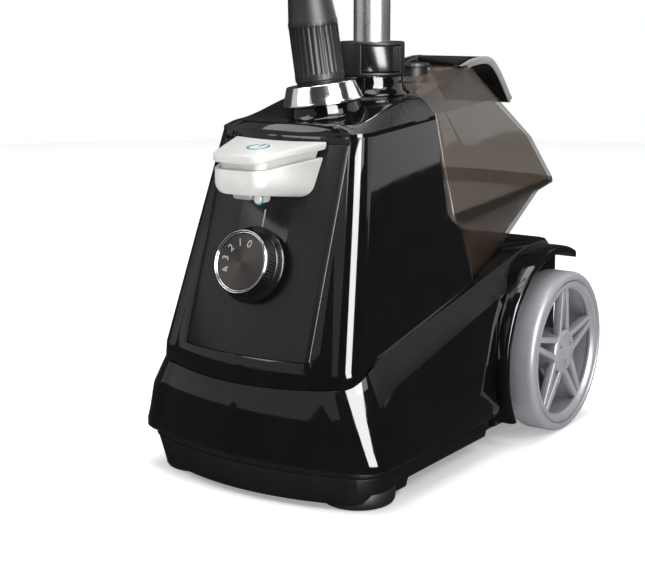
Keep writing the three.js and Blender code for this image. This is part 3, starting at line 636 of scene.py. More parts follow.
def add_hose():
    def spiral(run, angle):
        swell = 0.5 + 0.5 * math.cos(2 * math.pi * run / GUARD_PITCH - angle)
        return mix(9.3, GUARD_DIAMETER / 2, smooth(swell))

    guard, path = hose_stretch("hose_guard_spiral", "hose_guard", 0, GUARD_END, spiral, 40, 0.8,
                               MATTE)
    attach(guard, "base")

    for name, near, far, start, end, low, high in (
            ("lower", "base", "middle_pole", GUARD_END - 2, LOWER_END, 0.515, 0.877),
            ("middle", "middle_pole", "upper_pole", LOWER_END, MIDDLE_END, 0.877, 1.28),
            ("upper", "upper_pole", "handset", MIDDLE_END, HOSE_LENGTH, 1.28, 1.4185)):
        made, path = hose_stretch("hose_%s_braid" % name, "hose_" + name, start, end,
                                  BRAID_DIAMETER / 2, 32, 4.0, BRAID)
        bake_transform(made)


add_hose()


# ------------------------------------------------------------------ body surfaces
def plan(width, front, rear, bow, corner, level, rear_width=None, rear_bow=0, rear_corner=6):
    """Plan outline of the body: bowed front, round front corners and a rear face with its bow."""
    rear_width = rear_width or width
    across = 14
    right = []
    for i in range(across + 1):
        x = (width - corner) * i / across
        right.append((x, front + bow * (x / width) ** 2))
    corner_x, corner_y = right[-1]
    drop = corner * (0.8 + 2 * bow * corner_x / width ** 2)
    arc = 9
    for i in range(1, arc + 1):
        angle = math.pi / 2 * i / arc
        right.append((corner_x + corner * math.sin(angle), corner_y + drop * (1 - math.cos(angle))))
    side_end = (rear_width, rear - rear_corner - rear_bow)
    side = 16
    for i in range(1, side + 1):
        right.append((mix(width, side_end[0], i / side), mix(corner_y + drop, side_end[1], i / side)))
    turn_end = (rear_width - rear_corner, rear - 0.9 * rear_bow)
    turn = 5
    for i in range(1, turn + 1):
        t = i / turn
        control = (rear_width, turn_end[1])
        right.append(tuple((1 - t) ** 2 * a + 2 * t * (1 - t) * b + t * t * c
                           for a, b, c in zip(side_end, control, turn_end)))
    back = 9
    for i in range(1, back):
        x = turn_end[0] * (1 - i / back)
        right.append((x, rear - 0.9 * rear_bow * (x / turn_end[0]) ** 2))
    left = [(-x, y) for x, y in reversed(right[1:])]
    return [(x, y, level(y)) for x, y in right + [(0, rear)] + left]


WHEEL_Y = 107
WHEEL_Z = 65
FACE_TOP_Y = -118
FACE_SLOPE = 0.33
HOUSING_TOP = 252.5


def belt_run(y):
    return min(y, 98) + 150


def belt_low(y):
    return 76 + 0.245 * belt_run(y)


def belt_high(y):
    return 97 + 0.215 * belt_run(y)


def front_dip(y):
    """How far the belt's lines dip across the front."""
    return 10 * smooth((FACE_TOP_Y - y) / 38)


def belt_top(y):
    return belt_high(y) - front_dip(y)


def face_y(z):
    return FACE_TOP_Y - FACE_SLOPE * (HOUSING_TOP - z)


def deck_level(y):
    return 259 + 14 * smooth((y + 103) / 80)


def rim_level(y):
    return mix(HOUSING_TOP, 260.5, (y - FACE_TOP_Y) / 110)


def seam_y(z):
    """Y of the seam between the housing and the tank."""
    stops = [(131, 16), (172, 13), (187, -4), (262, -9)]
    for (z0, y0), (z1, y1) in zip(stops, stops[1:]):
        if z <= z1 or z1 == 262:
            return mix(y0, y1, clamp((z - z0) / (z1 - z0)))


def about_wheel(solid):
    """Turns a piece drawn about Z onto the right wheel's axis."""
    turn = Matrix(((0, 0, 1, 0), (0, 1, 0, WHEEL_Y), (-1, 0, 0, WHEEL_Z), (0, 0, 0, 1)))
    return moved(solid, turn)


PORT_LEAN = Vector((-0.107, -0.073, 0.99)).normalized()
PORT = Matrix.Translation((0, -65, 271.5)) @ \
    Vector((0, 0, 1)).rotation_difference(PORT_LEAN).to_matrix().to_4x4()


def both_wheels(z0, z1):
    """Room for the wheels at both sides."""
    return [block(88, 140, 18, 200, z0, z1), block(-140, -88, 18, 200, z0, z1)]


# ------------------------------------------------------------------ lower base
def add_lower_base():
    skirt = loft([
        plan(91, -164.5, 144.5, 21, 20, flat(4)),
        plan(93, -166, 146, 21, 20, flat(5.5)),
        plan(97.6, -168.6, 147.2, 21, 20, flat(24)),
        plan(97.6, -168.2, 147.2, 21, 20, flat(25)),
        plan(99, -169.5, 148, 21, 20, flat(26.2)),
        plan(99, -169.5, 148, 21, 20, flat(30.2)),
    ])
    hollows = [block(-120, 120, -96, 160, -1, 12), block(-88, 88, -140, -90, -1, 12)]
    add_piece("base_skirt", skirt, SKIRT, 0.7, "base", "matte_black", "base_pan",
              cuts=hollows + both_wheels(-1, 40))

    foot = turned([[0, 0], [23.5, 0], [25.2, 0.8], [26.2, 2.5], [26.5, 5], [26.5, 11.6], [0, 11.6]])
    for side, x in (("right", 71), ("left", -71)):
        add_piece("front_foot_pad_" + side, shifted(foot, x, -125), MATTE, 0.4, "base",
                  "matte_black", "front_foot_" + side)

    add_lower_shell()

    barrel = about_wheel(turned([
        [5.5, 88.4], [85.3, 88.4], [85.3, 103], [85.1, 107.5], [84.2, 109.5], [82.4, 110],
        [79.6, 110], [79.3, 109], [79.3, 91.4], [5.5, 91.4]], 128))
    open_side = prism([
        (77, 25), (107, 65), (203, 179), (260, 200), (260, -50), (-50, -50), (-50, 20), (77, 20),
    ], 91.5, 130, "x")
    trims = (open_side, block(60, 140, -50, 260, -50, 14), block(60, 140, 141.5, 260, -50, 300))
    for side, turn in SIDES:
        add_piece("wheel_arch_" + side, turn(barrel), GLOSS, 0.5, "base", "gloss_black",
                  "wheel_housing_" + side, cuts=[turn(trim) for trim in trims])

    inlet = together(bar(12, [42, 142.3, 52], [42, 145, 52], 48),
                     bar(8.5, [42, 130, 52], [42, 150, 52], 40))
    add_piece("cord_inlet_ring", inlet, MATTE, 0.6, "base", "matte_black", "cord_inlet")


def add_lower_shell():
    def ring_at(width, front, bow, level, rear=142):
        return plan(width, front, rear, bow, 20, level, rear_corner=14)

    shell = loft([
        ring_at(105.4, -170.6, 22, flat(30.35), 140.6),
        ring_at(107, -172, 22, flat(32)),
        ring_at(107, -172, 22, flat(37)),
        ring_at(106.4, -171.8, 22, flat(38.6)),
        ring_at(103.5, -172.6, 22, flat(46)),
        ring_at(97.5, -173.2, 20, lambda y: belt_low(y) - 1.1 * front_dip(y)),
        ring_at(86, -169.8, 19, belt_top),
    ])
    lower = piece("lower_body", shell, GLOSS)
    well = about_wheel(turned([[0, 88.1], [85.85, 88.1], [85.85, 150], [0, 150]], 96))
    cut(lower, well, mirrored(well), bar(13, [0, 62, 100], [0, 62, 200], 48),
        *both_wheels(0, 65))
    lower.data.materials.append(BELT)
    belt_inner_x, belt_front_y = 0.084, -0.135
    for polygon in lower.data.polygons:
        x, y, z = polygon.center
        y -= AXIS_Y
        low = belt_low(y / MM) * MM
        high = belt_high(y / MM) * MM
        on_side = abs(polygon.normal.x) > 0.35 and abs(polygon.normal.z) < 0.75
        if on_side and low < z < high and abs(x) > belt_inner_x and y > belt_front_y:
            polygon.material_index = 1
    give(soften(lower, 0.9), "base", "gloss_black", "lower_shell")


def skin(x0, x1, levels, depth, surface, columns=24):
    """A thin shaped panel over a surface: levels are (z, how far it stands out)."""
    rings = []
    for i in range(columns + 1):
        x = mix(x0, x1, i / columns)
        out = [(x, surface(x, z) - stand, z) for z, stand in levels]
        back = [(x, surface(x, z) + depth, z) for z, stand in reversed(levels)]
        rings.append(out + back)
    return loft(rings)


# ------------------------------------------------------------------ upper base
def housing_width(z):
    return mix(84.5, 63, (z - 97) / 158)


def housing_front(x, z):
    """Y of the upper housing's front."""
    bow = mix(19, 13, clamp((z - 97) / 155))
    return face_y(z) + bow * (x / housing_width(z)) ** 2


def add_upper_base():
    def ring_at(width, front, rear, bow, level):
        return plan(width, front, rear - GAP, bow, 13, level, rear_corner=3)

    rings = [
        ring_at(85, -169.4, 16, 19, lambda y: belt_top(y) + GAP),
        ring_at(84.2, -169.0, 16, 19, lambda y: max(98.5, belt_top(y) + 2)),
        ring_at(housing_width(172), face_y(172), seam_y(172), 16, flat(172)),
        ring_at(housing_width(187), face_y(187), seam_y(187), 15.5, flat(187)),
        ring_at(63, FACE_TOP_Y, seam_y(262), 13, rim_level),
    ]
    recess = skin(-54.3, 54.3, [(z, 4) for z in (246.4, 175, 102.7)], 2.8, housing_front)
    add_piece("upper_housing_shell", loft(rings), GLOSS, 1.0, "base", "gloss_black", "upper_housing",
              cuts=[recess, bar(27.5, [0, 0, 200], [0, 0, 300], 72)])

    levels = [(z, 0.15) for z in (246, 222, 198, 175, 150, 126, 103)]
    panel = skin(-54, 54, levels, 2.5, housing_front)
    add_piece("front_panel_skin", panel, PANEL, 0.5, "base", "panel_black", "front_panel",
              cuts=[block(-24, 24, -160, -100, 224, 232)])
    light = skin(-0.45, 0.45, [(200.5, 0.35), (183.5, 0.35)], 0.5, housing_front, 2)
    give(piece("indicator_line", light, WHITE), "base", "handset_white")


def add_deck():
    def deck_ring(share, level):
        """A ring of the chamfer: share runs from 0 at the rim to 1 at the deck."""
        return plan(mix(63.4, 50, share), mix(-118.5, -115, share), -9.7, mix(13, 9, share),
                    mix(13, 12, share), level, rear_corner=2)

    def chamfer(share):
        return lambda y: mix(rim_level(y) + GAP, deck_level(y), 1 - (1 - share) ** 1.25)

    rings = [deck_ring(0, lambda y: rim_level(y) - 3)]
    rings += [deck_ring(share, chamfer(share)) for share in (0, 0.2, 0.4, 0.6, 0.8, 0.93, 1)]
    middle_y = -62
    for shrink in (0.96, 0.85, 0.7, 0.55, 0.4, 0.25, 0.1):
        ring = []
        for x, y, z in deck_ring(1, deck_level):
            inner_y = middle_y + (y - middle_y) * shrink
            ring.append((x * shrink, inner_y, deck_level(inner_y) + 0.15))
        rings.append(ring)
    deck = piece("top_deck_shell", loft(rings), GLOSS)
    deck.data.materials.append(RIBBED)
    dots_inner_x, dots_front_y = 50.6, -112
    for polygon in deck.data.polygons:
        x, y = (polygon.center / MM).xy
        on_chamfer = abs(x) > dots_inner_x and polygon.normal.z > 0.3
        if on_chamfer and dots_front_y < y - AXIS_Y / MM:
            polygon.material_index = 1
    shade(deck, 40)
    give(deck, "base", "gloss_black", "top_deck")
    boss = turned([[0, 258], [33.5, 258], [33.5, 271.6], [33.1, 272.6], [32.2, 273], [0, 273]], 96)
    add_piece("deck_boss", boss, GLOSS, 0, "base", "gloss_black")


def add_ports():
    """The hose's port and the pole's socket."""
    neck = turned([[0, -16], [34, -12.6], [31, -11.6], [29, -10], [27.6, -7.6], [26.4, -4],
                   [25.9, -1.9], [0, -1.9]], 96)
    add_piece("port_neck", moved(neck, PORT), GLOSS, 0, "base", "gloss_black")
    cone = turned([
        [17.8, -1.5], [28.9, -1.5], [29.5, -1.0], [29.5, 0.2], [29.0, 0.9], [25.4, 12.2],
        [24.8, 12.9], [24.2, 13], [17.8, 13]], 96)
    add_piece("hose_port_cone", moved(cone, PORT), CHROME, 0.3, "base", "bright_chrome",
              "hose_port_collar")
    threads = [[12, -14], [13.2, -14], [13.2, -1.85], [17.4, -1.85]]
    for k in range(6):
        z = 0.5 + 2.4 * k
        threads += [[17.4, z], [16.6, z + 0.8], [16.6, z + 1.2], [17.4, z + 2.0]]
    threads += [[17.4, 15], [15.2, 15.6], [15.2, 21.4], [14.8, 22], [12, 22]]
    add_piece("hose_port_thread", moved(turned(threads, 72), PORT), MATTE, 0, "base",
              "matte_black", "hose_port_spigot")

    flare = turned([
        [0, 240], [27, 240], [27, 273], [29.2, 273.2], [29.5, 273.9], [28.9, 275.1], [26.4, 277.4],
        [25.1, 279.4], [24.3, 283], [24, 286.5], [23.6, 287.1], [14.35, 287.1], [14.35, 243.2],
        [0, 243.2]], 96)
    screw_z = 281.5
    add_piece("pole_socket_flare", flare, GLOSS, 0, "base", "gloss_black", "pole_socket",
              cuts=[bar(2.4, [-9.5, -27, screw_z], [-7.5, -20, screw_z], 24)])
    screw = bar(2.0, [-8.9, -23.6, screw_z], [-7.9, -20.6, screw_z], 24)
    give(piece("socket_screw", screw, SPRING), "base", "spring_steel")


# ------------------------------------------------------------------ controls
KNOB_Z = 163
KNOB_FRAME = Matrix.Translation((0, face_y(KNOB_Z) - 1.2, KNOB_Z)) @ \
    Matrix.Rotation(math.pi / 2 - math.atan(FACE_SLOPE), 4, "X")
DIAL_TOP = 16.05
PEDAL_TIP = -171
PEDAL_BACK_Z = 248
PEDAL_TIP_Z = 241


def add_selector():
    def knurl(radius, height, angle):
        return radius - (0.5 * (0.5 + 0.5 * math.cos(60 * angle)) if 7.2 < height < 13.4 else 0)

    body = turned([
        [3.4, 2], [26.5, 2], [27, 2.5], [27, 3.8], [26.4, 4.4], [24.2, 5.2], [23, 6.2], [22.9, 7],
        [23, 7.4], [22.6, 13.2], [22.2, 13.6], [22.2, 15.9], [21.6, 16.5], [21.2, 16.5], [20.2, 15.6],
        [20.2, 14.1], [0, 14.1], [0, 10], [3.4, 10]], 240, knurl)
    knob = piece("selector_body", body, KNOB, KNOB_FRAME)
    shade(knob, 40)
    give(knob, "selector", "knob_black", "selector_knob")
    for number, (radius, height) in enumerate(((21.7, 16.5), (20.4, 15.9))):
        wire = [[radius + x, height + z] for x, z in ellipse(0.3, 0.3, 10)]
        made = piece("selector_ring_%d" % number, turned(wire, 96), CHROME, KNOB_FRAME)
        made.data.shade_smooth()
        give(made, "selector", "bright_chrome")
    face = turned([[0, 14.5], [19.7, 14.5], [19.7, 15.6], [19.3, 15.9], [0, 16.0]], 120)
    made = piece("dial_plate", face, DIAL, KNOB_FRAME)
    give(soften(made, 0), "selector", "dial_face", "knob_dial")
    for number in range(5):
        add_numeral(number)


def add_numeral(number):
    """A number on the dial, with its top outwards."""
    first, apart, reach = 70, 34.75, 13.4
    angle = math.radians(first + apart * number)
    data = bpy.data.curves.new("numeral_%d" % number, "FONT")
    data.body = str(number)
    data.size = 7.6 * MM
    data.align_x = "CENTER"
    data.align_y = "CENTER"
    data.extrude = 0.06 * MM
    label = bpy.data.objects.new("label_%d" % number, data)
    bpy.context.scene.collection.objects.link(label)
    mesh = bpy.data.meshes.new_from_object(label)
    bpy.data.objects.remove(label)
    made = bpy.data.objects.new("dial_numeral_%d" % number, mesh)
    mesh.materials.clear()
    mesh.materials.append(MARKS)
    bpy.context.scene.collection.objects.link(made)
    corner = Matrix.Translation(place(KNOB_FRAME.to_translation()))
    spot = Matrix.Translation((reach * MM * math.cos(angle), reach * MM * math.sin(angle),
                               DIAL_TOP * MM))
    made.matrix_world = corner @ KNOB_FRAME.to_3x3().to_4x4() @ spot @ \
        Matrix.Rotation(angle - math.pi / 2, 4, "Z")
    give(made, "selector", "dial_face")


def pedal_station(y):
    """Run from the rear edge, top level and half width of the foot switch at y."""
    run = max(0, (y - FACE_TOP_Y) / (PEDAL_TIP - FACE_TOP_Y))
    return run, mix(PEDAL_BACK_Z, PEDAL_TIP_Z, run), mix(39, 20, run)


def tongue(inset, top, bottom, rear_bottom=None, fillet=1.0, crown=0.6):
    """The foot switch's tongue shape, inset all round, with its levels from the plate's top."""
    rear_bottom = bottom if rear_bottom is None else rear_bottom
    tip = PEDAL_TIP + inset
    rings = []
    steps = [(-84, 1), (-100, 1)] + [(mix(FACE_TOP_Y, tip + 9, i / 8), 1) for i in range(9)]
    for i in range(1, 9):
        angle = math.pi / 2 * i / 8
        steps.append((tip + 9 - 9 * math.sin(angle), 0.62 + 0.38 * math.cos(angle)))
    for y, narrow in steps:
        run, level, half = pedal_station(y)
        half = (half - inset) * narrow
        low = level + mix(rear_bottom, bottom, run)
        high = level + top
        turns = [math.pi / 2 * i / 6 for i in range(7)]
        lift = min(fillet, (high - low) * 0.45)
        right = [(half - fillet + fillet * math.sin(a), y, low + lift * (1 - math.cos(a))) for a in turns]
        right += [(half, y, high - crown), (half - crown, y, high)]
        rings.append(right + [(-x, y, z) for x, y, z in reversed(right)])
    return loft(rings)


def behind_front(offset):
    """Everything behind the housing's front surface, moved out by offset."""
    rings = []
    for i in range(33):
        x = mix(-60, 60, i / 32)
        rings.append([(x, housing_front(x, z) - offset, z) for z in (190, 215, 252, 270)]
                     + [(x, 0, 270), (x, 0, 190)])
    return loft(rings)


def add_foot_switch():
    rounding = (0.5, 3, 50, 50)
    add_piece("foot_switch_tray", tongue(0.8, -10.2, -26, -38.5, 8, 0.5), STEEL, rounding, "base",
              "switch_steel", "foot_switch_body",
              cuts=[tongue(3.6, 0, -22, -34.5, 6), behind_front(0.9)])
    add_piece("foot_switch_lug", block(-8.5, 8.5, -163, -151, 210.3, 218), SILVER, (3.2, 5), "base",
              "wheel_silver")
    pin_x, pin_z = 12.5, 211.6
    pin = bar(3.2, [pin_x, -161, pin_z], [pin_x, -150, pin_z], 40)
    add_piece("foot_switch_pin", pin, STEEL, 0.8, "base", "switch_steel")
    hoop = moved(turned([[3.3, -0.5], [4.1, -0.5], [4.1, 0.5], [3.3, 0.5]], 48),
                 Matrix.Translation((pin_x, -159.5, pin_z)) @ Matrix.Rotation(math.pi / 2, 4, "X"))
    add_piece("foot_switch_pin_ring", hoop, TEAL, 0.25, "base", "switch_steel")

    plate = piece("foot_switch_top", tongue(0, 0, -5), STEEL)
    join(plate, tongue(4.4, -4, -13.2, fillet=2))
    cut(plate, behind_front(2.2), tongue(7, -5, -18.2))
    give(soften(plate, *rounding), "foot_switch", "switch_steel", "foot_switch_plate")

    slope = math.atan2(PEDAL_BACK_Z - PEDAL_TIP_Z, FACE_TOP_Y - PEDAL_TIP)
    centre_y = -143
    level = pedal_station(centre_y)[1]
    spot = Matrix.Translation((0, centre_y, level + 0.05)) @ Matrix.Rotation(slope, 4, "X")
    arc = []
    for i in range(33):
        angle = math.radians(mix(125, 415, i / 32))
        arc.append([(r * math.cos(angle), r * math.sin(angle), z) for r, z in
                    ((6.6, -0.3), (8.2, -0.3), (8.2, 0.25), (6.6, 0.25))])
    symbol = together(loft(arc), block(-0.8, 0.8, 1.5, 9.2, -0.3, 0.25))
    add_piece("power_symbol", moved(symbol, spot), TEAL, (0.1, 2), "foot_switch", "switch_steel")


# ------------------------------------------------------------------ wheels
def add_wheels():
    tyre = about_wheel(turned([
        [53, 97.3], [61, 94.6], [62.5, 94.3], [63.8, 95.2], [64.7, 97.4], [65, 100], [65, 116.4],
        [64.7, 118.6], [63.9, 120.2], [62.6, 121.3], [61, 121.8], [59.2, 121.8], [58.8, 121.3],
        [58.5, 119.6], [57.5, 119.6], [57.2, 121.1], [56.6, 121.4], [54.2, 121.4], [53.2, 120.9],
        [52.6, 119.4], [51.2, 117.8], [51.2, 116], [53, 114]], 144))
    hub = about_wheel(turned([
        [5.35, 95.3], [17, 95.3], [17.4, 116], [17.4, 117.4], [16.4, 118.6], [15, 119.3], [0, 119.3],
        [0, 118.95], [5.35, 118.95]], 96))
    rib = loft([[(-3.5, -2.3, z), (3.5, -2.3, z), (3.2, 2.3, z), (-3.2, 2.3, z)] for z in (12, 54)])
    ribs = []
    for i in range(5):
        for side in (-1, 1):
            turn = Matrix.Translation((114.6, WHEEL_Y, WHEEL_Z)) @ \
                Matrix.Rotation(2 * math.pi * i / 5 + side * 0.1, 4, "X") @ \
                Matrix.Translation((0, side * 8.2, 0))
            ribs.append(moved(rib, turn))

    def hole(angle, wide, tall, corners):
        y = WHEEL_Y + 9.5 * math.cos(math.radians(angle))
        z = WHEEL_Z + 9.5 * math.sin(math.radians(angle))
        return prism([(y + wide * u, z + tall * v) for u, v in corners], 117.6, 125, "x")

    diamond = ((-1, 0), (0, -1), (1, 0), (0, 1))
    square = ((-1, -1), (1, -1), (1, 1), (-1, 1))
    holes = [hole(150, 3.0, 2.0, diamond), hole(30, 3.0, 2.0, diamond), hole(270, 2.2, 3.0, square)]
    for side, turn in SIDES:
        body = side + "_wheel"
        add_piece("wheel_rim_" + side, turn(tyre), SILVER, 0, body, "wheel_silver", "wheel_" + side)
        add_piece("wheel_hub_" + side, turn(hub), SILVER, 0.3, body, "wheel_silver",
                  cuts=[turn(h) for h in holes])
        add_piece("wheel_spokes_" + side, turn(together(*ribs)), SILVER, 0.7, body, "wheel_silver")


# ------------------------------------------------------------------ water tank
CAP_Y = 62


def tank_body(inset):
    """The tank's outside, or with an inset its hollow."""
    def ring_at(width, rear_width, z, rear, rear_bow, level, rear_corner=10):
        return plan(width - inset, seam_y(z) + GAP + inset, rear - inset, 0.01, 3, level,
                    rear_width - inset, rear_bow, rear_corner)

    def rising(front, rear, reach, up=0):
        return lambda y: mix(front, rear, clamp(y / reach)) + up

    return loft([
        ring_at(79.5, 69, 132, 112, 7, lambda y: belt_high(y) + 0.9 + inset, 26),
        ring_at(74.8, 69, 172, 171, 10, rising(176, 188, 165), 14),
        ring_at(77, 72, 187, 190, 11, rising(181, 193, 178)),
        ring_at(76.2, 71.2, 187, 190, 11, rising(187, 197, 178)),
        ring_at(69.5, 63, 224, 168, 10, rising(221, 232, 150), 16),
        ring_at(62.5, 56, 262, 118, 9, rising(261.5, 266.5, 95, -0.6 * inset), 16),
        ring_at(48, 43, 262, 90, 5, rising(274, 291, 75, -inset)),
    ])


def tint(tank):
    """Gives the tank's faces their materials by where they lie about its ridge, which paints shade and
    light onto the facets.
    """
    for tinted in (SMOKE_DOTS_PAINTED_SHEEN, SMOKE_RIDGE_PAINTED_SHADE, SMOKE_LOW_PAINTED_SHADE, SMOKE_REAR_PAINTED_HIGHLIGHT, SMOKE_TOP_PAINTED_LIGHT):
        tank.data.materials.append(tinted)
    # The ridge and the lower facets take the painted shade, the lower rear corner the painted highlight,
    # the top the painted light and the dotted upper facets the painted sheen.
    dotted, ridge, low, corner, top = 1, 2, 3, 4, 5
    ridge_low, ridge_high, ridge_rise, ridge_run = 176.5, 186.5, 12, 170
    shoulder = 0.262
    for polygon in tank.data.polygons:
        normal, centre = polygon.normal, polygon.center
        rearward = (centre.y - AXIS_Y) / MM
        height = centre.z / MM - ridge_rise * clamp(rearward / ridge_run)
        if height <= ridge_low:
            at_corner = abs(normal.y) > 0.35 and abs(normal.x) > 0.2 and rearward > 80
            polygon.material_index = corner if at_corner else low
        elif height < ridge_high and abs(normal.z) < 0.99 and centre.y > 0:
            polygon.material_index = ridge
        facet = 0.3 < abs(normal.x) < 0.97 and 0.2 < abs(normal.z) < 0.97
        if facet and centre.z > shoulder:
            polygon.material_index = dotted
        if abs(normal.z) > 0.9 and centre.z > shoulder:
            polygon.material_index = top


def add_tank():
    tank = piece("tank_shell", tank_body(0), SMOKE)
    hollow = piece("hollow", tank_body(2.5), SMOKE)
    cut(hollow, bar(36.8, [0, 0, 177.5], [0, 0, 320], 72))
    bpy.context.view_layer.update()
    inside = ([(v.co.x / MM, (v.co.y - AXIS_Y) / MM, v.co.z / MM) for v in hollow.data.vertices],
              [tuple(p.vertices) for p in hollow.data.polygons])
    bpy.data.objects.remove(hollow)
    cut(tank, inside, bar(34.3, [0, 0, 180], [0, 0, 320], 72),
        bar(11.5, [0, CAP_Y, 240], [0, CAP_Y, 320], 48),
        bar(8.5, [0, CAP_Y, 120], [0, CAP_Y, 160], 48))
    tint(tank)
    give(soften(tank, 0.9, 2), "tank", "tank_smoke", "water_tank")

    def grip(radius, height, angle):
        return radius - (0.35 if math.cos(24 * angle) > 0.2 and radius > 12.5 else 0)

    cap = turned([[0, 279], [11, 279], [11, 291.4], [12.8, 291.6], [13, 292.2], [12.9, 293.4],
                  [12.2, 294.6], [11.2, 295], [0, 295]], 72, grip)
    add_piece("tank_filler_cap", shifted(cap, 0, CAP_Y), MATTE, 0, "filler_cap", "matte_black",
              "tank_cap")


def add_tank_handle():
    path = smooth_curve([(82, 0, 292.4), (102, 0, 297.2), (130, 0, 297.5), (144, 0, 290.5),
                         (172, 0, 262)], 8)
    path = [(p.x, p.z) for p in path]

    def offset(depth):
        """The handle's line in [y, z], moved in by depth."""
        inner = []
        for i, (y, z) in enumerate(path):
            y0, z0 = path[max(i - 1, 0)]
            y1, z1 = path[min(i + 1, len(path) - 1)]
            run = math.hypot(y1 - y0, z1 - z0)
            inner.append((y + depth * (z1 - z0) / run, z - depth * (y1 - y0) / run))
        return inner

    above_tank = block(-33, 33, 0, 94, 250, 291.8)
    band = prism(path + offset(5.5)[::-1], -31, 31, "x")
    add_piece("tank_handle_band", band, KNOB, 0.8, "tank", "handset_white", "tank_handle",
              cuts=[block(-24, 24, 0, 107, 250, 320), above_tank])
    edge = prism(offset(-0.3) + offset(5.8)[::-1], 30.8, 32, "x")
    for side, turn in SIDES:
        add_piece("tank_handle_edge_" + side, turn(edge), HANDLE, 0.35, "tank", "handset_white",
                  cuts=[above_tank])


# ------------------------------------------------------------------ pole
def arc_sector(r0, r1, a0, a1, z0, z1, steps=24):
    """A block between two radii and two angles, measured from the front."""
    def at(radius, angle):
        return (radius * math.sin(angle), -radius * math.cos(angle))
    angles = [mix(a0, a1, i / steps) for i in range(steps + 1)]
    outline = [at(r1, a) for a in angles] + [at(r0, a) for a in reversed(angles)]
    return prism(outline, z0, z1, "z")


def add_clamp(node, lever_node, body, lever_body, inner, outer, z0, z1, sleeve=None):
    """A ring round the pole with a lever let into it. sleeve is the radius and top of the wider
    tube inside."""
    start, end = math.radians(16), math.radians(92)
    low, high = z0 + 3, z1 - 3
    edge = 1.2
    profile = [
        [inner, z0], [outer - edge, z0], [outer - 0.3, z0 + 0.4], [outer, z0 + edge],
        [outer, z1 - edge], [outer - 0.3, z1 - 0.4], [outer - edge, z1], [inner, z1]]
    margin = GAP / outer
    cuts = [arc_sector(outer - 4 - GAP, outer + 3, start - 2 * margin, end + margin, low - GAP,
                       high + GAP)]
    if sleeve:
        cuts.append(bar(sleeve[0], [0, 0, z0 - 1], [0, 0, sleeve[1]], 72))
    add_piece(node + "_ring", turned(profile, 96), MATTE, (0.35, 2), body, "matte_black", node,
              cuts=cuts)
    lever = arc_sector(outer - 4, outer + 0.3, start, end, low, high)
    add_piece(lever_node + "_plate", lever, KNOB, 1.0, lever_body, "knob_black", lever_node)
    grips = []
    for k in range(5):
        a = mix(mix(start, end, 0.72), end - 0.02, k / 5 + 0.02)
        grips.append(arc_sector(outer - 1, outer + 1.6, a, a + 0.045, low + 1, high - 1, 3))
    add_piece(lever_node + "_grip", together(*grips), MATTE, (0.25, 2), lever_body, "matte_black")


def add_pole():
    for name, radius, bottom, top, body in (
            ("pole_lower", 14, 243.6, 665, "base"), ("pole_middle", 11.75, 480, 927, "middle_pole"),
            ("pole_upper", 9, 725, 1430, "upper_pole")):
        pipe = turned([[radius - 1.2, bottom], [radius - 0.2, bottom], [radius, bottom + 0.3],
                       [radius, top - 0.3], [radius - 0.2, top], [radius - 1.2, top]], 72)
        add_piece(name + "_tube", pipe, POLE, 0, body, "pole_aluminium", name)
    add_clamp("base_clamp", "base_clamp_latch", "base", "base_latch", 14.35, 25, 287.5, 313)
    add_clamp("pole_clamp_lower", "clamp_lever_lower", "base", "lower_lever", 12.1, 21, 657, 685,
              (14.35, 665.35))
    add_clamp("pole_clamp_upper", "clamp_lever_upper", "middle_pole", "upper_lever", 9.35, 18.5,
              921, 947, (12.1, 927.35))


# ------------------------------------------------------------------ hanger and handset
PIVOT_X = 30
PIVOT_Z = 1464
ROD_Z = 1398
HAND_Y = -47
HEAD_Z = 1608


def bezier(a, b, c, steps):
    return [tuple((1 - t) ** 2 * p + 2 * t * (1 - t) * q + t * t * r for p, q, r in zip(a, b, c))
            for t in (i / steps for i in range(steps + 1))]


def add_hub():
    outline = [(-18, 1421), (18, 1421), (42, 1444), (44, 1470), (26, 1490), (14, 1495), (-14, 1495),
               (-26, 1490), (-44, 1470), (-42, 1444)]
    hub = piece("hanger_hub_block", prism(outline, -14, 14, "y"), MATTE)
    join(hub, turned([[0, 1344], [10.7, 1344], [11.5, 1344.8], [13, 1425], [0, 1425]]))
    cut(hub, block(16, 60, -6.35, 6.35, 1400, 1500), block(-60, -16, -6.35, 6.35, 1400, 1500))
    join(hub, bar(3, [PIVOT_X, -13, PIVOT_Z], [PIVOT_X, 13, PIVOT_Z]),
         bar(3, [-PIVOT_X, -13, PIVOT_Z], [-PIVOT_X, 13, PIVOT_Z]))
    cut(hub, bar(9.35, [0, 0, 1300], [0, 0, 1430.35], 48))
    give(soften(hub, 1.8, 4), "upper_pole", "matte_black", "hanger_hub")
    head = turned([[0, 0], [4.6, 0], [4.6, 0.6], [3.6, 1.2], [0, 1.4]], 40)
    for side, x in (("right", PIVOT_X), ("left", -PIVOT_X)):
        turn = Matrix.Translation((x, -14, PIVOT_Z)) @ Matrix.Rotation(math.pi / 2, 4, "X")
        add_piece("hanger_pivot_" + side, moved(head, turn), SPRING, 0, "upper_pole", "spring_steel")


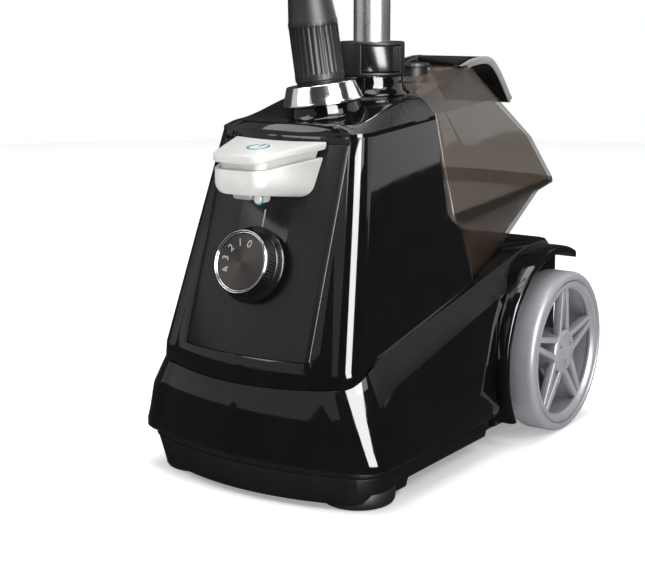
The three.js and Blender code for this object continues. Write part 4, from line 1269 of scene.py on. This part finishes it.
def add_arms():
    rise = bezier((PIVOT_X, 1475), (130, 1456), (228, 1382), 24)
    under = bezier((218, 1370), (120, 1430), (32, 1453.5), 24)
    tip = [(232, 1379), (234, 1374), (233.4, 1366), (232, 1360), (229, 1358.4), (226, 1359),
           (222.5, 1364)]
    beam = prism(rise + tip + under + [(21.5, 1458), (19.5, 1466), (24, 1473)], -6, 6, "y")
    line = bezier((44, 1466), (130, 1448), (212, 1383), 20)
    groove = line + [(x, z - 5) for x, z in reversed(line)]
    slots = (bar(3.35, [PIVOT_X, -20, PIVOT_Z], [PIVOT_X, 20, PIVOT_Z]),
             prism(groove, -7, -5, "y"), prism(groove, 5, 7, "y"))
    rod = smooth_curve([(62, 0, 1437), (62, 0, 1406), (70, 0, ROD_Z), (86, 0, ROD_Z),
                        (156, 0, ROD_Z), (180, 0, ROD_Z), (186, 0, 1401)], 6)
    clip = prism([
        (107.5, 1358), (122.5, 1358), (124, 1359.5), (124, 1382), (122, 1385), (122, 1398),
        (120.6, 1401.5), (117.5, 1404), (112.5, 1404), (109.4, 1401.5), (108, 1398), (108, 1385),
        (106, 1382), (106, 1359.5)], -5, 5, "y")
    for side, turn in SIDES:
        body = side + "_arm"
        add_piece("hanger_arm_beam_" + side, turn(beam), MATTE, (1.5, 4), body, "matte_black",
                  "hanger_arm_" + side, cuts=[turn(slot) for slot in slots])
        made = piece("trouser_rod_wire_" + side, turn(tube(rod, 2, 20)), CHROME)
        made.data.shade_smooth()
        give(made, body, "bright_chrome", "trouser_rod_" + side)
        add_piece("clip_body_" + side, turn(clip), MATTE, 1.0, side + "_clip", "matte_black",
                  "clip_" + side, cuts=[turn(bar(2.35, [95, 0, ROD_Z], [135, 0, ROD_Z]))])


def add_cradle():
    reach = 15.5
    fork = [(-9, 9), (-24, 9), (-24, -63), (-reach, -63), (-reach, HAND_Y)]
    fork += [(reach * math.cos(a), HAND_Y + reach * math.sin(a)) for a in
             (math.pi * (1 - i / 24) for i in range(1, 24))]
    fork += [(reach, HAND_Y), (reach, -63), (24, -63), (24, 9), (9, 9)]
    fork = [(x, clamp(y, -63, -21) if abs(x) > 9 else y) for x, y in fork]
    cradle = piece("cradle_fork", prism(fork, 1553, 1562, "z"), MATTE)
    join(cradle, block(-9, 9, -24, 9, 1495.35, 1562))
    give(soften(cradle, 2.2, 4), "upper_pole", "matte_black", "handset_cradle")
    hook = smooth_curve([(8.5, 0, 1530), (20, 0, 1528), (29, 0, 1532), (32, 0, 1541), (30, 0, 1549)],
                        10)
    add_piece("cradle_hook", tube(hook, lambda run, angle: 3.0 if run < 38 else 3.4, 24), MATTE,
              0.8, "upper_pole", "matte_black")


def oval(z, rx, ry, dy):
    """A level ring of the handle, moved forwards or back by dy."""
    return [(x, HAND_Y + dy + y, z) for x, y in ellipse(rx, ry, 48)]


def blended_rings(stations, per_span=6):
    """Rings through stations of numbers, eased so that the profile is smooth."""
    curve = []
    for i in range(len(stations) - 1):
        p0 = stations[max(i - 1, 0)]
        p1, p2 = stations[i], stations[i + 1]
        p3 = stations[min(i + 2, len(stations) - 1)]
        for k in range(per_span):
            t = k / per_span
            curve.append([0.5 * (2 * b + (c - a) * t + (2 * a - 5 * b + 4 * c - d) * t * t
                                 + (3 * b - a - 3 * c + d) * t ** 3)
                          for a, b, c, d in zip(p0, p1, p2, p3)])
    curve.append(list(stations[-1]))
    return curve


def add_handset():
    stations = [[1421, 11, 11, 0], [1423, 12.2, 12.2, 0], [1433, 14.5, 15, 0], [1462, 16, 18, 0],
                [1500, 16, 19, -1], [1535, 15, 16, -1], [1552, 13.5, 13.5, 0],
                [1566, 13.5, 13.5, 0], [1582, 17, 15, 0]]
    grip = loft([oval(*s) for s in blended_rings(stations)])
    add_piece("handset_handle", grip, KNOB, 0.6, "handset", "matte_black", "handset_grip",
              cuts=[block(-6.4, 6.4, -87, -55, 1498, 1532)])
    corners = ((6, -16.4), (6, 16.4), (-6, 16.4), (-6, -16.4))
    lever = loft([[(x * s, HAND_Y - back, 1515 + z * s) for x, z in corners]
                  for back, s in ((11, 1), (20, 1), (22.4, 0.96), (23.5, 0.86))])
    add_piece("trigger_lever", lever, SILVER, 1.2, "trigger", "wheel_silver", "steam_trigger")

    def section(x, half_y, half_z):
        return [(x, HAND_Y - 1 + y, HEAD_Z + z) for y, z in ellipse(half_y, half_z, 48)]

    sections = [[-82, 2, 2], [-81, 8, 7], [-78, 13, 11], [-70, 16.5, 14], [-61, 19, 16.5],
                [-33, 24.5, 22.5], [0, 27, 25.2], [33, 24.5, 22.5], [61, 19, 16.5], [70, 16.5, 14],
                [78, 13, 11], [81, 8, 7], [82, 2, 2]]
    head = loft([section(*s) for s in blended_rings(sections, 4)])
    add_piece("steam_head_shell", head, WHITE, (1.2, 4), "handset", "handset_white", "steam_head",
              cuts=[block(-100, 100, -107, -67, 1560, 1660)])
    outline = [(x, HEAD_Z + z) for x, z in ellipse(68, 15.5, 96)]
    holes = [bar(1.6, [x, -75, HEAD_Z + z], [x, -60, HEAD_Z + z], 16)
             for x in range(-48, 49, 16) for z in (-6, 6)]
    add_piece("steam_plate_face", prism(outline, -69.95, -67.35, "y"), STEEL, 0.5, "handset",
              "switch_steel", "steam_plate", cuts=holes)


def add_cuff():
    def ribs(radius, height, angle):
        return radius - (0.7 * (0.5 + 0.5 * math.cos(28 * angle)) if 20 < height < 54 else 0)

    cuff = turned([
        [15.7, 15.5], [17.6, 15.5], [18, 16], [18, 20], [17.9, 20.5], [17.9, 53.5], [18, 54],
        [18, 57.6], [17.5, 58.6], [14.2, 87], [14, 88], [12.7, 92.6], [12.2, 93], [0, 93], [0, 29],
        [15.7, 29]], 168, ribs)
    made = piece("hose_cuff_nut", moved(cuff, PORT), MATTE)
    shade(made, 38)
    give(made, "base", "matte_black", "hose_cuff")


add_lower_base()
add_upper_base()
add_deck()
add_ports()
add_selector()
add_foot_switch()
add_wheels()
add_tank()
add_tank_handle()
add_pole()
add_hub()
add_arms()
add_cradle()
add_handset()
add_cuff()


# ------------------------------------------------------------------ hidden nodes
KEPT = {
    "selector_switch": MATTE, "foot_switch_spring": SPRING, "foot_switch_contact": RUBBER,
    "boiler": CAST, "heating_element": SPRING, "steam_pipe": RUBBER, "feed_pipe": RUBBER,
    "tank_seat": RUBBER, "wheel_axle": SPRING, "tank_valve": MATTE,
}
for node, kept_material in KEPT.items():
    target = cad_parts[node]
    target.data.materials.clear()
    target.data.materials.append(kept_material)


# ------------------------------------------------------------------ floor and light
FLOOR_RADIUS = 2.5
LIGHT_AIM = Vector((0, 0, 0.2))


def add_floor():
    rim = [(x, y, 0) for x, y in ellipse(FLOOR_RADIUS, FLOOR_RADIUS, 96)]
    mesh = bpy.data.meshes.new("floor")
    mesh.from_pydata(rim, [], [tuple(range(len(rim)))])
    floor = bpy.data.objects.new("floor", mesh)
    bpy.context.scene.collection.objects.link(floor)
    mesh.materials.append(finish("floor_white", (0.88, 0.88, 0.88), 0.75, 0.05, 0.01, 30, 0.01,
                                 Emission_Color=grey(1), Emission_Strength=0.3))
    floor.visible_glossy = False


def add_light(name, azimuth, elevation, distance, width, height, strength, diffuse=True):
    """A rectangle of light facing the object; strength is in watts for each square metre."""
    away = away_from(azimuth, elevation)
    data = bpy.data.lights.new(name, "AREA")
    data.shape = "RECTANGLE"
    data.size = width
    data.size_y = height
    data.energy = strength * width * height
    light = bpy.data.objects.new(name, data)
    light.location = LIGHT_AIM + distance * away
    light.rotation_euler = away.to_track_quat("Z", "Y").to_euler()
    light.visible_diffuse = diffuse
    bpy.context.scene.collection.objects.link(light)


def add_world():
    """White behind the object, soft light on it, and a dim surround in its reflections."""
    world = bpy.data.worlds.new("studio")
    bpy.context.scene.world = world
    world.use_nodes = True
    nodes, links = world.node_tree.nodes, world.node_tree.links
    rays = nodes.new("ShaderNodeLightPath")
    shader = nodes["Background"].outputs[0]
    nodes["Background"].inputs["Color"].default_value = grey(1)
    nodes["Background"].inputs["Strength"].default_value = 0.4
    for ray, strength in (("Is Glossy Ray", 0.05), ("Is Transmission Ray", 1.0),
                          ("Is Camera Ray", 1.0)):
        seen = nodes.new("ShaderNodeBackground")
        seen.inputs["Color"].default_value = grey(1)
        seen.inputs["Strength"].default_value = strength
        mixer = nodes.new("ShaderNodeMixShader")
        links.new(rays.outputs[ray], mixer.inputs[0])
        links.new(shader, mixer.inputs[1])
        links.new(seen.outputs[0], mixer.inputs[2])
        shader = mixer.outputs[0]
    links.new(shader, nodes["World Output"].inputs[0])


add_floor()
add_world()
add_light("strip_right", 58, 22, 2.2, 1.2, 2.4, 75, diffuse=False)
add_light("rear_right", 146, 27, 3.0, 2.8, 1.9, 3.4, diffuse=False)
add_light("front_sheet", -39, 20, 3.2, 4.6, 3.0, 1.7, diffuse=False)
add_light("key_right", 78, 50, 2.6, 1.2, 1.2, 14)
add_light("front_left", -40, 42, 2.8, 1.4, 1.2, 14)
add_light("top", 0, 89, 3.2, 2.2, 2.2, 16)
bpy.context.scene.view_settings.view_transform = "Standard"
